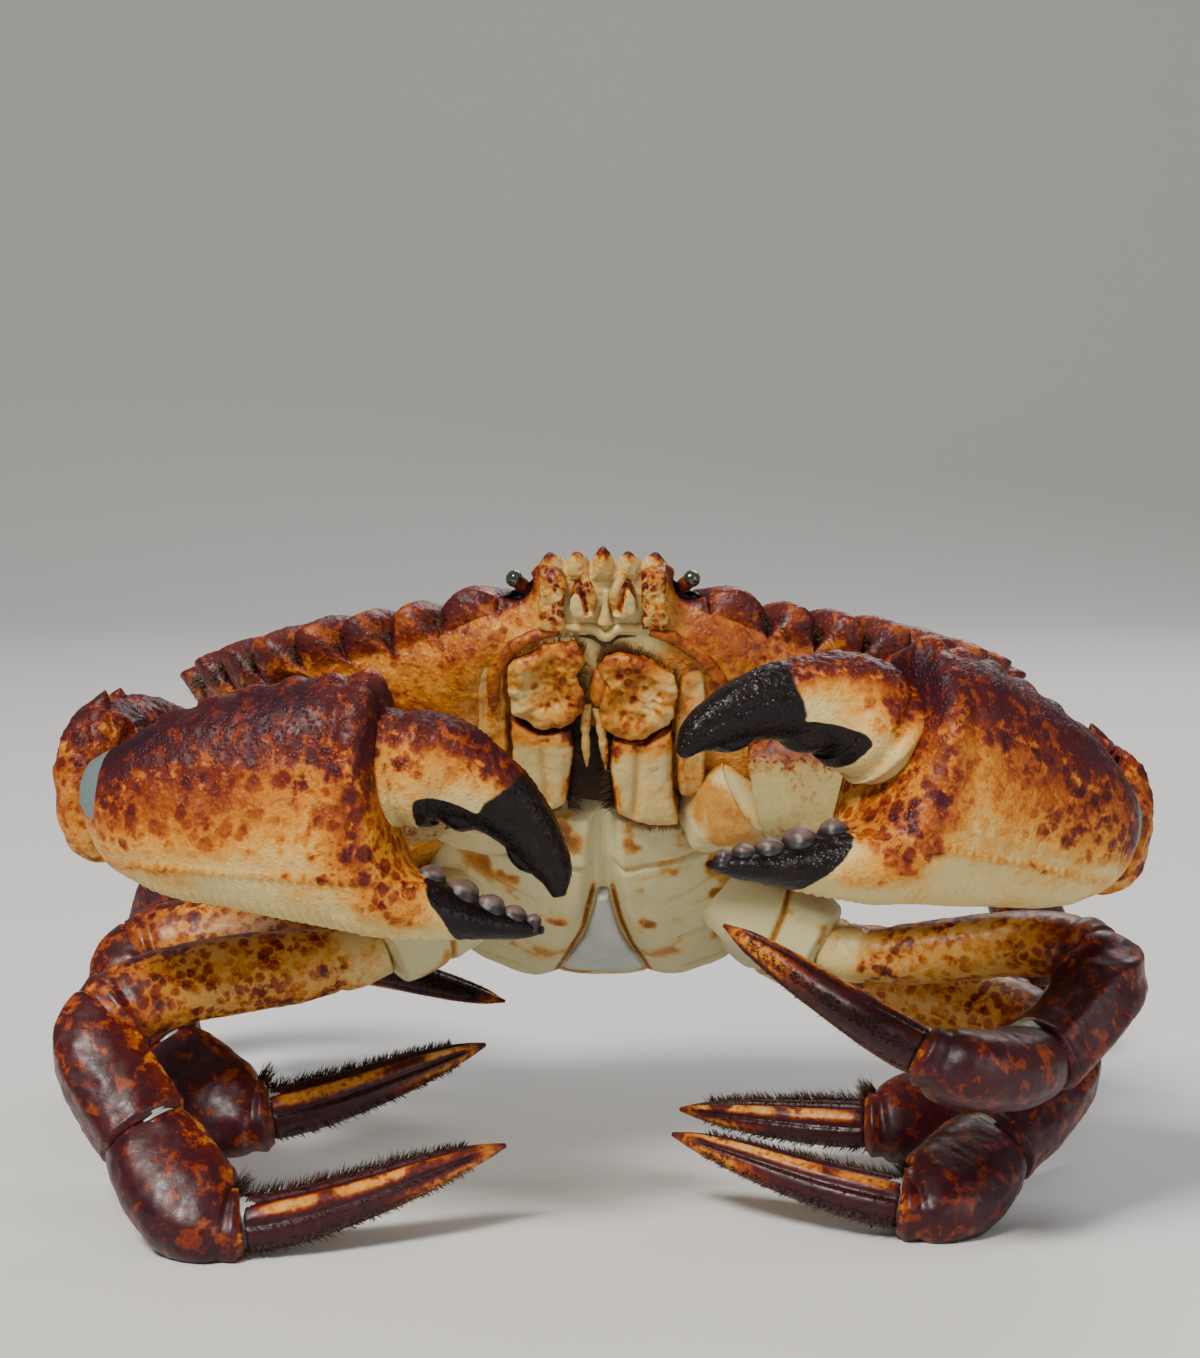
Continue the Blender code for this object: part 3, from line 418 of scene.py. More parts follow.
def path_points(points, first, last, count):
    p = np.asarray(points, float)
    reach = lengths_along(p)
    tangent = np.empty_like(p)
    tangent[0], tangent[-1] = unit(first), unit(last)
    for i in range(1, len(p) - 1):
        tangent[i] = unit(unit(p[i + 1] - p[i]) + unit(p[i] - p[i - 1]))
    at = np.linspace(0, reach[-1], count)
    i = np.clip(np.searchsorted(reach, at, side="right") - 1, 0, len(p) - 2)
    h = (reach[i + 1] - reach[i])[:, None]
    u = ((at - reach[i]) / h[:, 0])[:, None]
    place = hermite(u, h, p[i], tangent[i], p[i + 1], tangent[i + 1])
    slope = (
        (6 * u**2 - 6 * u) * (p[i] - p[i + 1])
        + (3 * u**2 - 4 * u + 1) * h * tangent[i]
        + (3 * u**2 - 2 * u) * h * tangent[i + 1]
    )
    return place, units(slope)


class Grid:
    """A closed tube of points with, for each point, where it lies on the piece."""

    def __init__(self, rings, **local):
        self.rings = np.asarray(rings, float)
        self.n, self.m = self.rings.shape[:2]
        self.local = {}
        for key, value in local.items():
            value = np.broadcast_to(np.asarray(value, float), (self.n, self.m)).reshape(-1)
            ends = [value[: self.m].mean(), value[-self.m:].mean()]
            self.local[key] = np.concatenate([value, ends])

    def read(self, *keys):
        return [self.local[key] for key in keys]

    def points(self):
        flat = self.rings.reshape(-1, 3)
        return np.vstack([flat, self.rings[0].mean(0), self.rings[-1].mean(0)])

    def faces(self):
        """Quads between the rings, and a fan of triangles on each end."""
        i, j = np.meshgrid(np.arange(self.n - 1), np.arange(self.m), indexing="ij")
        k = (j + 1) % self.m
        row, ahead = i * self.m, (i + 1) * self.m
        quads = np.stack([row + j, row + k, ahead + k, ahead + j], -1)
        j = np.arange(self.m)
        k = (j + 1) % self.m
        low = np.stack([np.full(self.m, self.n * self.m), k, j], -1)
        last = (self.n - 1) * self.m
        high = np.stack([np.full(self.m, self.n * self.m + 1), last + j, last + k], -1)
        return quads.reshape(-1, 4), np.vstack([low, high])


def limb_grid(points, first, last, side, rows, size, rings, sides, power=2.3):
    place, way = path_points(points, first, last, rings)
    share = np.linspace(0, 1, rings)
    shape = smooth_rows(rows, share) * size
    loops, across_of, up_of = [], [], []
    for i in range(rings):
        across = unit(np.asarray(side) - np.dot(side, way[i]) * way[i])
        up = np.cross(way[i], across)
        p, q, c, s = section(sides, shape[i, 0], shape[i, 1], shape[i, 1], power)
        loops.append(place[i] + p[:, None] * across + q[:, None] * up)
        across_of.append(c)
        up_of.append(s)
    return Grid(loops, s=share[:, None], c=across_of, q=up_of)


def placed(points):
    """Millimetre points in metres in the scene, none below the floor."""
    points = np.asarray(points, float) + ORIGIN_SHIFT
    points[:, 2] = np.maximum(points[:, 2], 0.0)
    return points * MM


def make_mesh(name, points, quads, triangles):
    mesh = bpy.data.meshes.new(name)
    mesh.from_pydata(placed(points).tolist(), [], quads.tolist() + triangles.tolist())
    mesh.shade_smooth()
    return mesh


def add_object(mesh, material, nodes=()):
    mesh.materials.append(material)
    obj = bpy.data.objects.new(mesh.name, mesh)
    bpy.context.scene.collection.objects.link(obj)
    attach(obj, "root")
    if nodes:
        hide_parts(*nodes)


def vertex_normals(mesh):
    normals = np.empty(len(mesh.vertices) * 3, np.float32)
    mesh.vertex_normals.foreach_get("vector", normals)
    return normals.reshape(-1, 3).astype(float)


def add_grid(name, grid, material, slot, nodes=(), relief=0.0, world=None, **looks):
    """One visible piece: raised by relief along its normals and painted by its looks, a value for each point.

    The grid's points are world points unless others are given for them.
    """
    points = grid.points() if world is None else world
    mesh = make_mesh(name, points, *grid.faces())
    normals = vertex_normals(mesh)
    outward = np.sum(normals * (points - points.mean(0)), axis=1).mean()
    if outward < 0:
        mesh.flip_normals()
        mesh.update()
        normals = -normals
    raised = placed(points + normals * np.full(len(points), relief)[:, None])
    mesh.vertices.foreach_set("co", raised.ravel())
    mesh.update()
    for key, values in looks.items():
        layer = mesh.attributes.new(key, "FLOAT", "POINT")
        layer.data.foreach_set("value", np.full(len(points), values, np.float32))
    add_object(mesh, material, nodes)


# Materials.
SHELL_STOPS = [
    (0.00, (0.56, 0.44, 0.18)),
    (0.14, (0.57, 0.320, 0.075)),
    (0.30, (0.50, 0.180, 0.011)),
    (0.44, (0.29, 0.062, 0.003)),
    (0.58, (0.14, 0.017, 0.003)),
    (0.76, (0.056, 0.0054, 0.0060)),
    (1.00, (0.018, 0.0028, 0.0080)),
]
BELLY_STOPS = [
    (0.00, (0.56, 0.51, 0.28)),
    (0.16, (0.54, 0.43, 0.19)),
    (0.34, (0.46, 0.22, 0.035)),
    (0.55, (0.27, 0.085, 0.010)),
    (1.00, (0.06, 0.016, 0.004)),
]
DOT_SOFTNESS = 0.14


class Nodes:
    """Short ways to join shader nodes."""

    def __init__(self, material):
        material.use_nodes = True
        self.tree = material.node_tree
        self.shader = self.tree.nodes["Principled BSDF"]
        self.where = self.tree.nodes.new("ShaderNodeTexCoord").outputs["Object"]

    def link(self, source, target):
        self.tree.links.new(source, target)

    def fill(self, socket, value):
        if isinstance(value, (int, float)):
            socket.default_value = value
        elif isinstance(value, tuple):
            socket.default_value = value if len(socket.default_value) == len(value) else (*value, 1.0)
        else:
            self.link(value, socket)

    def math(self, kind, *values):
        node = self.tree.nodes.new("ShaderNodeMath")
        node.operation = kind
        for socket, value in zip(node.inputs, values):
            self.fill(socket, value)
        return node.outputs[0]

    def vector(self, kind, *values):
        node = self.tree.nodes.new("ShaderNodeVectorMath")
        node.operation = kind
        for socket, value in zip(node.inputs, values):
            self.fill(socket, value)
        return node.outputs[0]

    def centred(self, value, gain):
        """A value from 0 to 1, made to lie evenly about 0 and scaled."""
        return self.math("MULTIPLY", self.math("SUBTRACT", value, 0.5), gain)

    def attribute(self, name):
        node = self.tree.nodes.new("ShaderNodeAttribute")
        node.attribute_name = name
        return node.outputs["Fac"]

    def noise(self, size_mm, detail=2.0, rough=0.5, warp=0.0, output=0):
        node = self.tree.nodes.new("ShaderNodeTexNoise")
        self.link(self.where, node.inputs["Vector"])
        node.inputs["Scale"].default_value = 1000.0 / size_mm
        node.inputs["Detail"].default_value = detail
        node.inputs["Roughness"].default_value = rough
        node.inputs["Distortion"].default_value = warp
        return node.outputs[output]

    def cells(self, size_mm, warp_mm=0.0):
        """Distance to the nearest of scattered centres, and a chance number for each centre."""
        node = self.tree.nodes.new("ShaderNodeTexVoronoi")
        place = self.where
        if warp_mm:
            drift = self.vector("SUBTRACT", self.noise(size_mm * 0.8, 2.0, output=1), (0.5, 0.5, 0.5))
            reach = 2 * warp_mm * MM
            place = self.vector("ADD", place, self.vector("MULTIPLY", drift, (reach, reach, reach)))
        self.link(place, node.inputs["Vector"])
        node.inputs["Scale"].default_value = 1000.0 / size_mm
        return node.outputs["Distance"], node.outputs["Color"]

    def dots(self, size_mm, small, large):
        """Round spots of uneven size, 1 inside and 0 outside."""
        distance, chance = self.cells(size_mm, 0.34 * size_mm)
        radius = self.math("ADD", self.math("MULTIPLY", chance, large - small), small)
        return self.step(self.math("SUBTRACT", radius, distance), -DOT_SOFTNESS, DOT_SOFTNESS)

    def mottle(self, size_mm):
        """Ragged patches, 1 inside and 0 outside."""
        return self.step(self.noise(size_mm, 5.0, 0.62, 0.35), 0.50, 0.60)

    def step(self, value, low, high, to_low=0.0, to_high=1.0):
        node = self.tree.nodes.new("ShaderNodeMapRange")
        node.interpolation_type = "SMOOTHSTEP"
        self.link(value, node.inputs["Value"])
        node.inputs["From Min"].default_value = low
        node.inputs["From Max"].default_value = high
        node.inputs["To Min"].default_value = to_low
        node.inputs["To Max"].default_value = to_high
        return node.outputs["Result"]

    def ramp(self, value, stops):
        node = self.tree.nodes.new("ShaderNodeValToRGB")
        self.link(value, node.inputs["Fac"])
        elements = node.color_ramp.elements
        while len(elements) < len(stops):
            elements.new(0.5)
        for element, (place, colour) in zip(elements, stops):
            element.position = place
            element.color = (*colour, 1.0)
        return node.outputs["Color"]

    def mix(self, share, first, second):
        node = self.tree.nodes.new("ShaderNodeMix")
        node.data_type = "RGBA"
        self.link(share, node.inputs["Factor"])
        self.fill(node.inputs[6], first)
        self.fill(node.inputs[7], second)
        return node.outputs[2]

    def bump(self, height, distance_mm, strength=1.0, under=None):
        node = self.tree.nodes.new("ShaderNodeBump")
        node.inputs["Strength"].default_value = strength
        node.inputs["Distance"].default_value = distance_mm * MM
        self.link(height, node.inputs["Height"])
        if under is not None:
            self.link(under, node.inputs["Normal"])
        return node.outputs["Normal"]


def crab_material(name, dots=(2.6, 0.15, 0.55, 0.30), blotch=(9.0, 0.20), flecks=(3.0, 0.30),
                  shine=(0.38, 0.55), grain_mm=0.0, specular=0.3, extras=(), stops=SHELL_STOPS,
                  spotted=(0.02, 0.24)):
    """Cream to purple-black by each point's tone, with dark spots where pale and orange flecks where dark.

    dots: size in mm, smallest and largest radius as a share of it, gain. blotch and flecks: size, gain.
    shine: roughness from and to. spotted: the tones between which spots begin.
    """
    material = bpy.data.materials.new(name)
    n = Nodes(material)
    base = n.attribute("tone")
    base = n.math("ADD", base, n.centred(n.noise(blotch[0], 3.0, 0.6), 2 * blotch[1]))
    size, small, large, gain = dots
    spots = n.dots(size, small, large)
    spots = n.math("ADD", spots, n.math("MULTIPLY", n.dots(0.42 * size, 0.0, 0.5), 0.40))
    spots = n.math("ADD", spots, n.math("MULTIPLY", n.mottle(1.5 * size), 0.75))
    clusters = n.step(n.noise(4.0 * size, 2.0), 0.36, 0.60, 0.35, 1.0)
    where_pale = n.math("MULTIPLY", n.step(base, *spotted), n.step(base, 0.50, 0.75, 1.0, 0.15))
    spots = n.math("MULTIPLY", n.math("MULTIPLY", spots, clusters), where_pale)
    tone = n.math("ADD", base, n.math("MULTIPLY", spots, gain))
    fleck_mm, fleck_gain = flecks
    light = n.math("MULTIPLY", n.mottle(fleck_mm), n.step(base, 0.42, 0.60))
    tone = n.math("SUBTRACT", tone, n.math("MULTIPLY", light, fleck_gain))
    colour = n.ramp(n.math("ADD", tone, n.centred(n.noise(0.8, 2.0, 0.6), 0.26)), stops)
    if "pale" in extras:
        edge = n.math("ADD", n.attribute("pale"), n.centred(n.noise(2.0), 0.3))
        colour = n.mix(n.step(edge, 0.4, 0.6), colour, (0.12, 0.165, 0.165))
    # black: the fingers' own black, and on the shell the eye sockets painted black as shade.
    if "black" in extras:
        edge = n.math("ADD", n.attribute("black"), n.centred(n.noise(3.0, 3.0), 0.5))
        dark = n.ramp(n.noise(4.0, 3.0), [(0.3, (0.0035, 0.0016, 0.0022)), (0.75, (0.012, 0.006, 0.006))])
        colour = n.mix(n.step(edge, 0.42, 0.58), colour, dark)
    n.link(colour, n.shader.inputs["Base Color"])
    dull = n.step(n.noise(1.6, 3.0), 0.3, 0.7, *shine)
    if "black" in extras:
        dull = n.math("SUBTRACT", dull, n.math("MULTIPLY", n.attribute("black"), 0.12))
    n.link(dull, n.shader.inputs["Roughness"])
    n.shader.inputs["Specular IOR Level"].default_value = specular
    normal = n.bump(n.noise(0.45, 3.0, 0.6), 0.05, 0.7)
    if grain_mm:
        grain = n.step(n.cells(grain_mm)[0], 0.0, 0.55, 1.0, 0.0)
        normal = n.bump(grain, 0.13, 0.8, normal)
    n.link(normal, n.shader.inputs["Normal"])
    return material


def plain_material(name, first, second, size_mm, roughness, coat=0.0, grain=0.03):
    material = bpy.data.materials.new(name)
    n = Nodes(material)
    n.link(n.ramp(n.noise(size_mm, 3.0), [(0.3, first), (0.7, second)]), n.shader.inputs["Base Color"])
    n.shader.inputs["Roughness"].default_value = roughness
    n.shader.inputs["Coat Weight"].default_value = coat
    n.link(n.bump(n.noise(0.5, 3.0), grain, 0.6), n.shader.inputs["Normal"])
    return material


# On the shell, black is painted shade in the eye sockets.
SHELL = crab_material("shell_skin", dots=(2.2, 0.05, 0.45, 0.16), blotch=(6.0, 0.16), flecks=(4.0, 0.24),
                      grain_mm=0.8, extras=("black",))
CLAW = crab_material("claw_skin", dots=(2.4, 0.20, 0.60, 0.28), flecks=(2.2, 0.26), grain_mm=0.7,
                     specular=0.2, extras=("black", "pale"))
THIGH = crab_material("thigh_skin", dots=(1.8, 0.30, 0.62, 0.30), blotch=(7.0, 0.12), flecks=(2.4, 0.26),
                      shine=(0.32, 0.48), spotted=(-0.02, 0.14), extras=("pale",))
LEG = crab_material("leg_skin", dots=(2.0, 0.25, 0.60, 0.32), blotch=(8.0, 0.17), flecks=(2.6, 0.30),
                    shine=(0.30, 0.46), extras=("pale",))
TOE = crab_material("toe_skin", dots=(1.2, 0.2, 0.5, 0.25), blotch=(3.0, 0.10), flecks=(1.3, 0.12),
                    shine=(0.30, 0.46), extras=("pale",))
BELLY = crab_material("belly_skin", dots=(2.0, 0.0, 0.2, 0.10), blotch=(9.0, 0.05), shine=(0.38, 0.52),
                      stops=BELLY_STOPS)
ARM = crab_material("arm_skin", dots=(1.1, 0.1, 0.45, 0.5), blotch=(7.0, 0.14), shine=(0.38, 0.52),
                    stops=[(0.0, (0.42, 0.36, 0.15)), (0.3, (0.30, 0.19, 0.055)), (0.6, (0.22, 0.055, 0.008)),
                           (0.9, (0.052, 0.0055, 0.0060))])
MOUTH = crab_material("mouth_skin", dots=(1.3, 0.0, 0.4, 0.18), blotch=(4.5, 0.16), shine=(0.38, 0.52))
FACE = crab_material("face_skin", dots=(1.2, 0.20, 0.62, 0.50), blotch=(5.0, 0.08), shine=(0.36, 0.5),
                     spotted=(0.06, 0.13))
TAIL_PLATE = plain_material("tail_plate", (0.36, 0.40, 0.38), (0.50, 0.52, 0.46), 6.0, 0.45)
# Dark brown put where only shade is seen: painted shade for the sheet behind the jaws and for the brow's
# slit.
GAP_SHADE = plain_material("painted_gap_shade", (0.016, 0.0045, 0.001), (0.060, 0.020, 0.004), 2.0, 0.75)
MEMBRANE = plain_material("joint_skin", (0.18, 0.21, 0.21), (0.40, 0.41, 0.36), 3.0, 0.35, 0.2)
BRISTLE = plain_material("bristles", (0.016, 0.007, 0.003), (0.070, 0.030, 0.009), 5.0, 0.45)
GOLD_BRISTLE = plain_material("pale_bristles", (0.16, 0.08, 0.022), (0.30, 0.16, 0.05), 5.0, 0.5)
OLIVE_BRISTLE = plain_material("olive_bristles", (0.030, 0.030, 0.012), (0.11, 0.105, 0.050), 4.0, 0.6)
CORNEA = plain_material("cornea", (0.008, 0.011, 0.005), (0.032, 0.040, 0.014), 0.8, 0.06, 1.0, 0.004)


def knob_material():
    """Black horn whose worn crown shows mauve."""
    material = plain_material("knob_horn", (0.006, 0.004, 0.005), (0.016, 0.010, 0.011), 2.6, 0.46)
    n = Nodes(material)
    worn = n.math("ADD", n.attribute("worn"), n.math("SUBTRACT", n.noise(1.6, 3.0), 0.5))
    dark = n.ramp(n.noise(2.6, 3.0), [(0.3, (0.006, 0.004, 0.005)), (0.7, (0.016, 0.010, 0.011))])
    n.link(n.mix(n.step(worn, 0.45, 1.3), dark, (0.15, 0.095, 0.075)), n.shader.inputs["Base Color"])
    return material


KNOB = knob_material()


def bristles(name, hairs, thick, material, bend=(0, 0, 0)):
    """Tapered three-sided hairs joined into one mesh, from the root, direction and length of each."""
    roots, ways, lengths = (np.array(column, float) for column in zip(*hairs))
    ways = units(ways)
    side = np.cross(ways, (0.31, 0.47, 0.83))
    side = units(side)
    other = np.cross(ways, side)
    points, faces = [], []
    steps = ((0.0, 1.0), (0.55, 0.65), (1.0, 0.08))
    for reach, width in steps:
        middle = roots + ways * (lengths * reach)[:, None] + np.asarray(bend) * (lengths * reach**2)[:, None]
        for k in range(3):
            turn = 2 * math.pi * k / 3
            points.append(middle + thick * width * (math.cos(turn) * side + math.sin(turn) * other))
    points = np.stack(points, 1).reshape(-1, 3)
    per = 3 * len(steps)
    for row in range(len(steps) - 1):
        for k in range(3):
            j = (k + 1) % 3
            faces.append((row * 3 + k, row * 3 + j, (row + 1) * 3 + j, (row + 1) * 3 + k))
    base = np.arange(len(roots))[:, None, None] * per
    quads = (np.array(faces)[None] + base).reshape(-1, 4)
    caps = (np.array([[2, 1, 0], [per - 3, per - 2, per - 1]])[None] + base).reshape(-1, 3)
    add_object(make_mesh(name, points, quads, caps), material)


# The shell.
def lobe_height(share):
    """The scalloped edge's own height: 0 at the notches and 1 at each lobe's crown."""
    inside = (share >= NOTCHES[0]) & (share <= NOTCHES[-1])
    turn = np.interp(share, NOTCHES, np.arange(len(NOTCHES)))
    return np.where(inside, np.abs(np.sin(math.pi * turn)) ** LOBE_FULLNESS, 0.0)


def margin_growth(share, x):
    """How far the toothed edge stands out from the smooth outline."""
    inside = (share >= NOTCHES[0]) & (share <= NOTCHES[-1])
    out = np.where(inside, LOBE_DEPTH * (lobe_height(share) - LOBE_SINK), 0.0)
    front = share < FRONT_SHARE
    for middle, half, tall in FRONT_TEETH:
        off = (np.abs(x) - middle) / half
        tooth = tall * np.clip(1 - np.abs(off) ** 1.5, 0, 1)
        out = np.where(front & (np.abs(off) < 1), np.maximum(out, tooth), out)
    return out


def both_halves(values):
    """Values along the half outline, repeated backwards for its mirror image."""
    return np.concatenate([values, values[1:-1][::-1]])


def make_shell():
    front = np.linspace(0.0, NOTCHES[0], 110, endpoint=False)
    lobes = np.concatenate([np.linspace(a, b, 22, endpoint=False) for a, b in zip(NOTCHES, NOTCHES[1:])])
    rear = np.linspace(NOTCHES[-1], 1.0, 50)
    shares = np.concatenate([front, lobes, rear])
    rows = smooth_rows(SHELL_ROWS, shares)
    margin, rim = rows[:, 0:3], rows[:, 3:6]
    ahead = np.gradient(margin[:, :2], axis=0)
    normal = np.stack([-ahead[:, 1], ahead[:, 0]], 1)
    normal = units(normal)
    normal[np.sum(normal * (margin[:, :2] - SHELL_CENTRE), axis=1) < 0] *= -1
    normal[shares < FRONT_SHARE] = (0.0, 1.0)
    growth = margin_growth(shares, margin[:, 0])
    lobe = lobe_height(shares)
    tooth = np.where(shares < FRONT_SHARE, np.clip(growth / 3.2, 0, 1), 0.0)
    swell = np.maximum(lobe, 0.7 * tooth)
    teeth = growth[:, None] * normal
    first, last = NOTCHES[0], NOTCHES[-1]
    dip = (1 - lobe) * smoothstep(first - 0.02, first, shares) * smoothstep(last + 0.02, last, shares)
    centre = np.array(SHELL_CENTRE)
    steepness = np.interp(shares, (0.0, 0.6, 0.85), (1.45, 1.6, 2.4))
    rings, over, under = [], [], []
    for v in np.concatenate([np.linspace(0.02, 0.84, 64), np.linspace(0.848, 1.0, 24)]):
        fade = smoothstep(0.84, 1.0, v)
        edge = np.clip((v - 0.82) / 0.18, 0, 1)
        plan = centre + v * (margin[:, :2] - centre) + teeth * fade
        height = margin[:, 2] * v**2 + SHELL_DOME * (1 - v**steepness) ** BRIM_FLATNESS
        rise = LOBE_RISE * swell * np.sin(math.pi * edge) ** 0.8
        height += rise - NOTCH_FALL * dip * smoothstep(0.0, 0.6, edge)
        rings.append(np.column_stack([plan, height]))
        over.append(np.full(len(shares), v))
        under.append(np.zeros(len(shares)))
    for v in np.concatenate([np.linspace(0.012, 0.14, 16), np.linspace(0.155, 1.0, 42)]):
        fade = 1 - smoothstep(0, 0.15, v)
        belly = 3.2 * math.sin(math.pi * v) * np.clip((shares - 0.12) / 0.12, 0, 1)
        edge = min(v / 0.14, 1)
        plan = margin[:, :2] * (1 - v) + rim[:, :2] * v + teeth * fade + 0.5 * belly[:, None] * normal
        height = margin[:, 2] * (1 - v) + rim[:, 2] * v - 0.85 * belly - 1.6 * math.sin(0.5 * math.pi * edge)
        height -= 0.7 * swell * math.sin(math.pi * edge) + NOTCH_FALL * dip * smoothstep(0.30, 0.0, v)
        rings.append(np.column_stack([plan, height]))
        over.append(np.ones(len(shares)))
        under.append(np.full(len(shares), v))
    whole = [np.vstack([r, r[1:-1][::-1] * (-1, 1, 1)]) for r in rings]
    along = {key: both_halves(row) for key, row in (("share", shares), ("lobe", lobe), ("tooth", tooth))}
    grid = Grid(whole, v=[both_halves(o) for o in over], w=[both_halves(u) for u in under], **along)
    for key in ("v", "w"):
        grid.local[key][-1] = 1.0
    body = grid.points()
    tone, relief, socket = shell_looks(grid, body)
    # The eye sockets go in as black: painted shade in their hollows.
    add_grid("shell_skin", grid, SHELL, "shell", ["shell"], relief, body_to_world(body),
             tone=tone, black=socket)
    notch_hairs(shares, np.column_stack([margin[:, :2] + teeth, margin[:, 2] - 2.6]), normal)


def shell_looks(grid, body):
    """Tone, relief and eye sockets of the shell.

    v runs from the middle of the top to the edge and w from the edge down to the lower rim.
    """
    v, w, share, lobe, tooth = grid.read("v", "w", "share", "lobe", "tooth")
    aside = np.abs(body[:, 0])
    top = w == 0
    toothed = (share > NOTCHES[0]) & (share < NOTCHES[-1])
    cover = np.where(top, smoothstep(0.1, 0.9, v), 0)
    paired = np.column_stack([np.hypot(body[:, 0], 5.0), body[:, 1:]])
    lumps = 1.1 * rough(paired, 15.0, 3) * np.where(top, smoothstep(1.0, 0.8, v), 0.25)
    line = 8.5 + 0.010 * (body[:, 1] + 4.0) ** 2
    furrow = ridge(aside - line, 1.5) * smoothstep(-26, -18, body[:, 1])
    furrow *= smoothstep(18, 8, body[:, 1])
    lumps -= 0.7 * furrow * top
    grain = np.where(top, 0.30 - 0.14 * smoothstep(0.8, 0.9, v), 0.16) * grains(body, 1.5, 5)
    beads = 0.16 * grains(body, 1.0, 8) * smoothstep(0.8, 0.95, v) * smoothstep(0.25, 0.1, w)
    away = np.linalg.norm(np.column_stack([aside, body[:, 1:]]) - EYE_PLACE, axis=1)
    # Eye sockets: sunk, and passed on as black for the shell's colour: painted shade in the hollows round the
    # eyes.
    socket = smoothstep(3.6, 2.2, away)
    relief = lumps + grain + beads - 0.9 * socket
    under_tone = 0.74 - 0.38 * smoothstep(0.02, 0.17, w) - 0.10 * smoothstep(0.45, 0.95, w)
    under_tone += 0.10 * rough(body, 7.0, 9) * smoothstep(0.1, 0.3, w)
    # Darker under the edge in the notches between the lobes: painted shade in the notches.
    under_tone += 0.12 * smoothstep(0.45, 0.1, lobe) * smoothstep(0.3, 0.05, w) * toothed
    face = smoothstep(0.125, 0.095, share)
    under_tone = under_tone * (1 - face) + face * (0.07 - 0.04 * smoothstep(0.1, 0.4, w))
    tone = np.where(top, 0.74 + 0.14 * cover - 0.20 * smoothstep(0.86, 0.98, v) * toothed, under_tone)
    paler = 0.80 * smoothstep(0.80, 0.92, v) * (1 - smoothstep(0.45, 0.95, tooth))
    tone = np.where(top & (share < FRONT_SHARE), tone - paler, tone)
    tip = smoothstep(0.65, 1.0, tooth) * smoothstep(0.06, 0.0, w)
    tone = np.where(share < FRONT_SHARE, np.maximum(tone, 0.72 * tip), tone)
    shoulder = smoothstep(9.5, 12.0, aside) * smoothstep(17.5, 15.5, aside) * smoothstep(0.3, 0.1, w)
    tone = np.where(top, tone, np.maximum(tone, 0.70 * shoulder))
    # Darker on top near the edge in the notches between the lobes: painted shade in the notches.
    tone += 0.06 * (1 - lobe) * smoothstep(0.9, 1.0, v) * toothed
    return tone, relief, socket


def notch_hairs(shares, edge, normal):
    """Short olive hairs in the notches between the lobes, from the edge's points and outward directions."""
    rng = np.random.default_rng(211)
    hairs = []
    for notch in NOTCHES[1:-1]:
        middle = int(np.argmin(np.abs(shares - notch)))
        for side in (-1, 1):
            for _ in range(60):
                i = middle + int(rng.integers(-4, 5))
                out = np.array([*normal[i], rng.uniform(-0.6, 0.3)])
                root = (edge[i] - 0.5 * out + (0, 0, rng.uniform(-1.2, 1.4))) * (side, 1, 1)
                way = (out + rng.normal(0, 0.25, 3)) * (side, 1, 1)
                place, tip = body_to_world([root, root + way])
                hairs.append((place, tip - place, rng.uniform(1.0, 2.0)))
    bristles("notch_hairs", hairs, 0.07, OLIVE_BRISTLE, (0, 0, -0.15))


# Claws.
def hand_bend(a):
    """How far the fingers curl inwards: a parabola that goes on straight."""
    run = np.clip(np.asarray(a, float) - BEND_START, 0, None)
    straight = BEND_STRAIGHT - BEND_START
    beyond = BEND * straight**2 + 2 * BEND * straight * (run - straight)
    return -np.where(run < straight, BEND * run**2, beyond)


def claw_axes(claw):
    sense = claw["sense"]
    lift, yaw, roll = (math.radians(claw[k]) for k in ("lift", "yaw", "roll"))
    toward = np.array([0.0, -math.cos(CAMERA_DIP), math.sin(CAMERA_DIP)])
    up = np.array([0.0, math.sin(CAMERA_DIP), math.cos(CAMERA_DIP)])
    across = np.array([float(sense), 0.0, 0.0])
    a = math.cos(lift) * (math.cos(yaw) * across + math.sin(yaw) * toward) + math.sin(lift) * up
    t = unit(math.cos(yaw) * toward - math.sin(yaw) * across)
    h = unit(up - np.dot(up, a) * a - np.dot(up, t) * t)
    turn_h = math.cos(roll) * h - math.sin(roll) * t
    turn_t = math.cos(roll) * t + math.sin(roll) * h
    return unit(a), turn_h, turn_t


def claw_to_world(points, claw):
    a, h, t = claw_axes(claw)
    p = np.asarray(points, float)
    return np.array(claw["root"]) + p[:, :1] * a + p[:, 1:2] * h + p[:, 2:] * t


def hand_grid(count, sides):
    at = np.linspace(HAND_ROWS[0][0], HAND_ROWS[-1][0], count)
    rows = smooth_rows(HAND_ROWS, at)
    rings, c_of = [], []
    for a, (low, high, inner, outer, power) in zip(at, rows):
        middle, centre = (low + high) / 2, (inner + outer) / 2
        p, q, c, _ = section(sides, (outer - inner) / 2, high - middle, middle - low, power)
        rings.append(np.column_stack([np.full(sides, a), middle + q, centre + p + hand_bend(a)]))
        c_of.append(c)
    return Grid(rings, c=c_of, low=rows[:, 0:1], high=rows[:, 1:2])


def bump_rows(a, h, places, radius, tall):
    out = np.zeros(len(a))
    for pa, ph in places:
        away = ((a - pa) ** 2 + (h - ph) ** 2) / radius**2
        out = np.maximum(out, tall * np.clip(1 - away, 0, 1) ** 1.2)
    return out


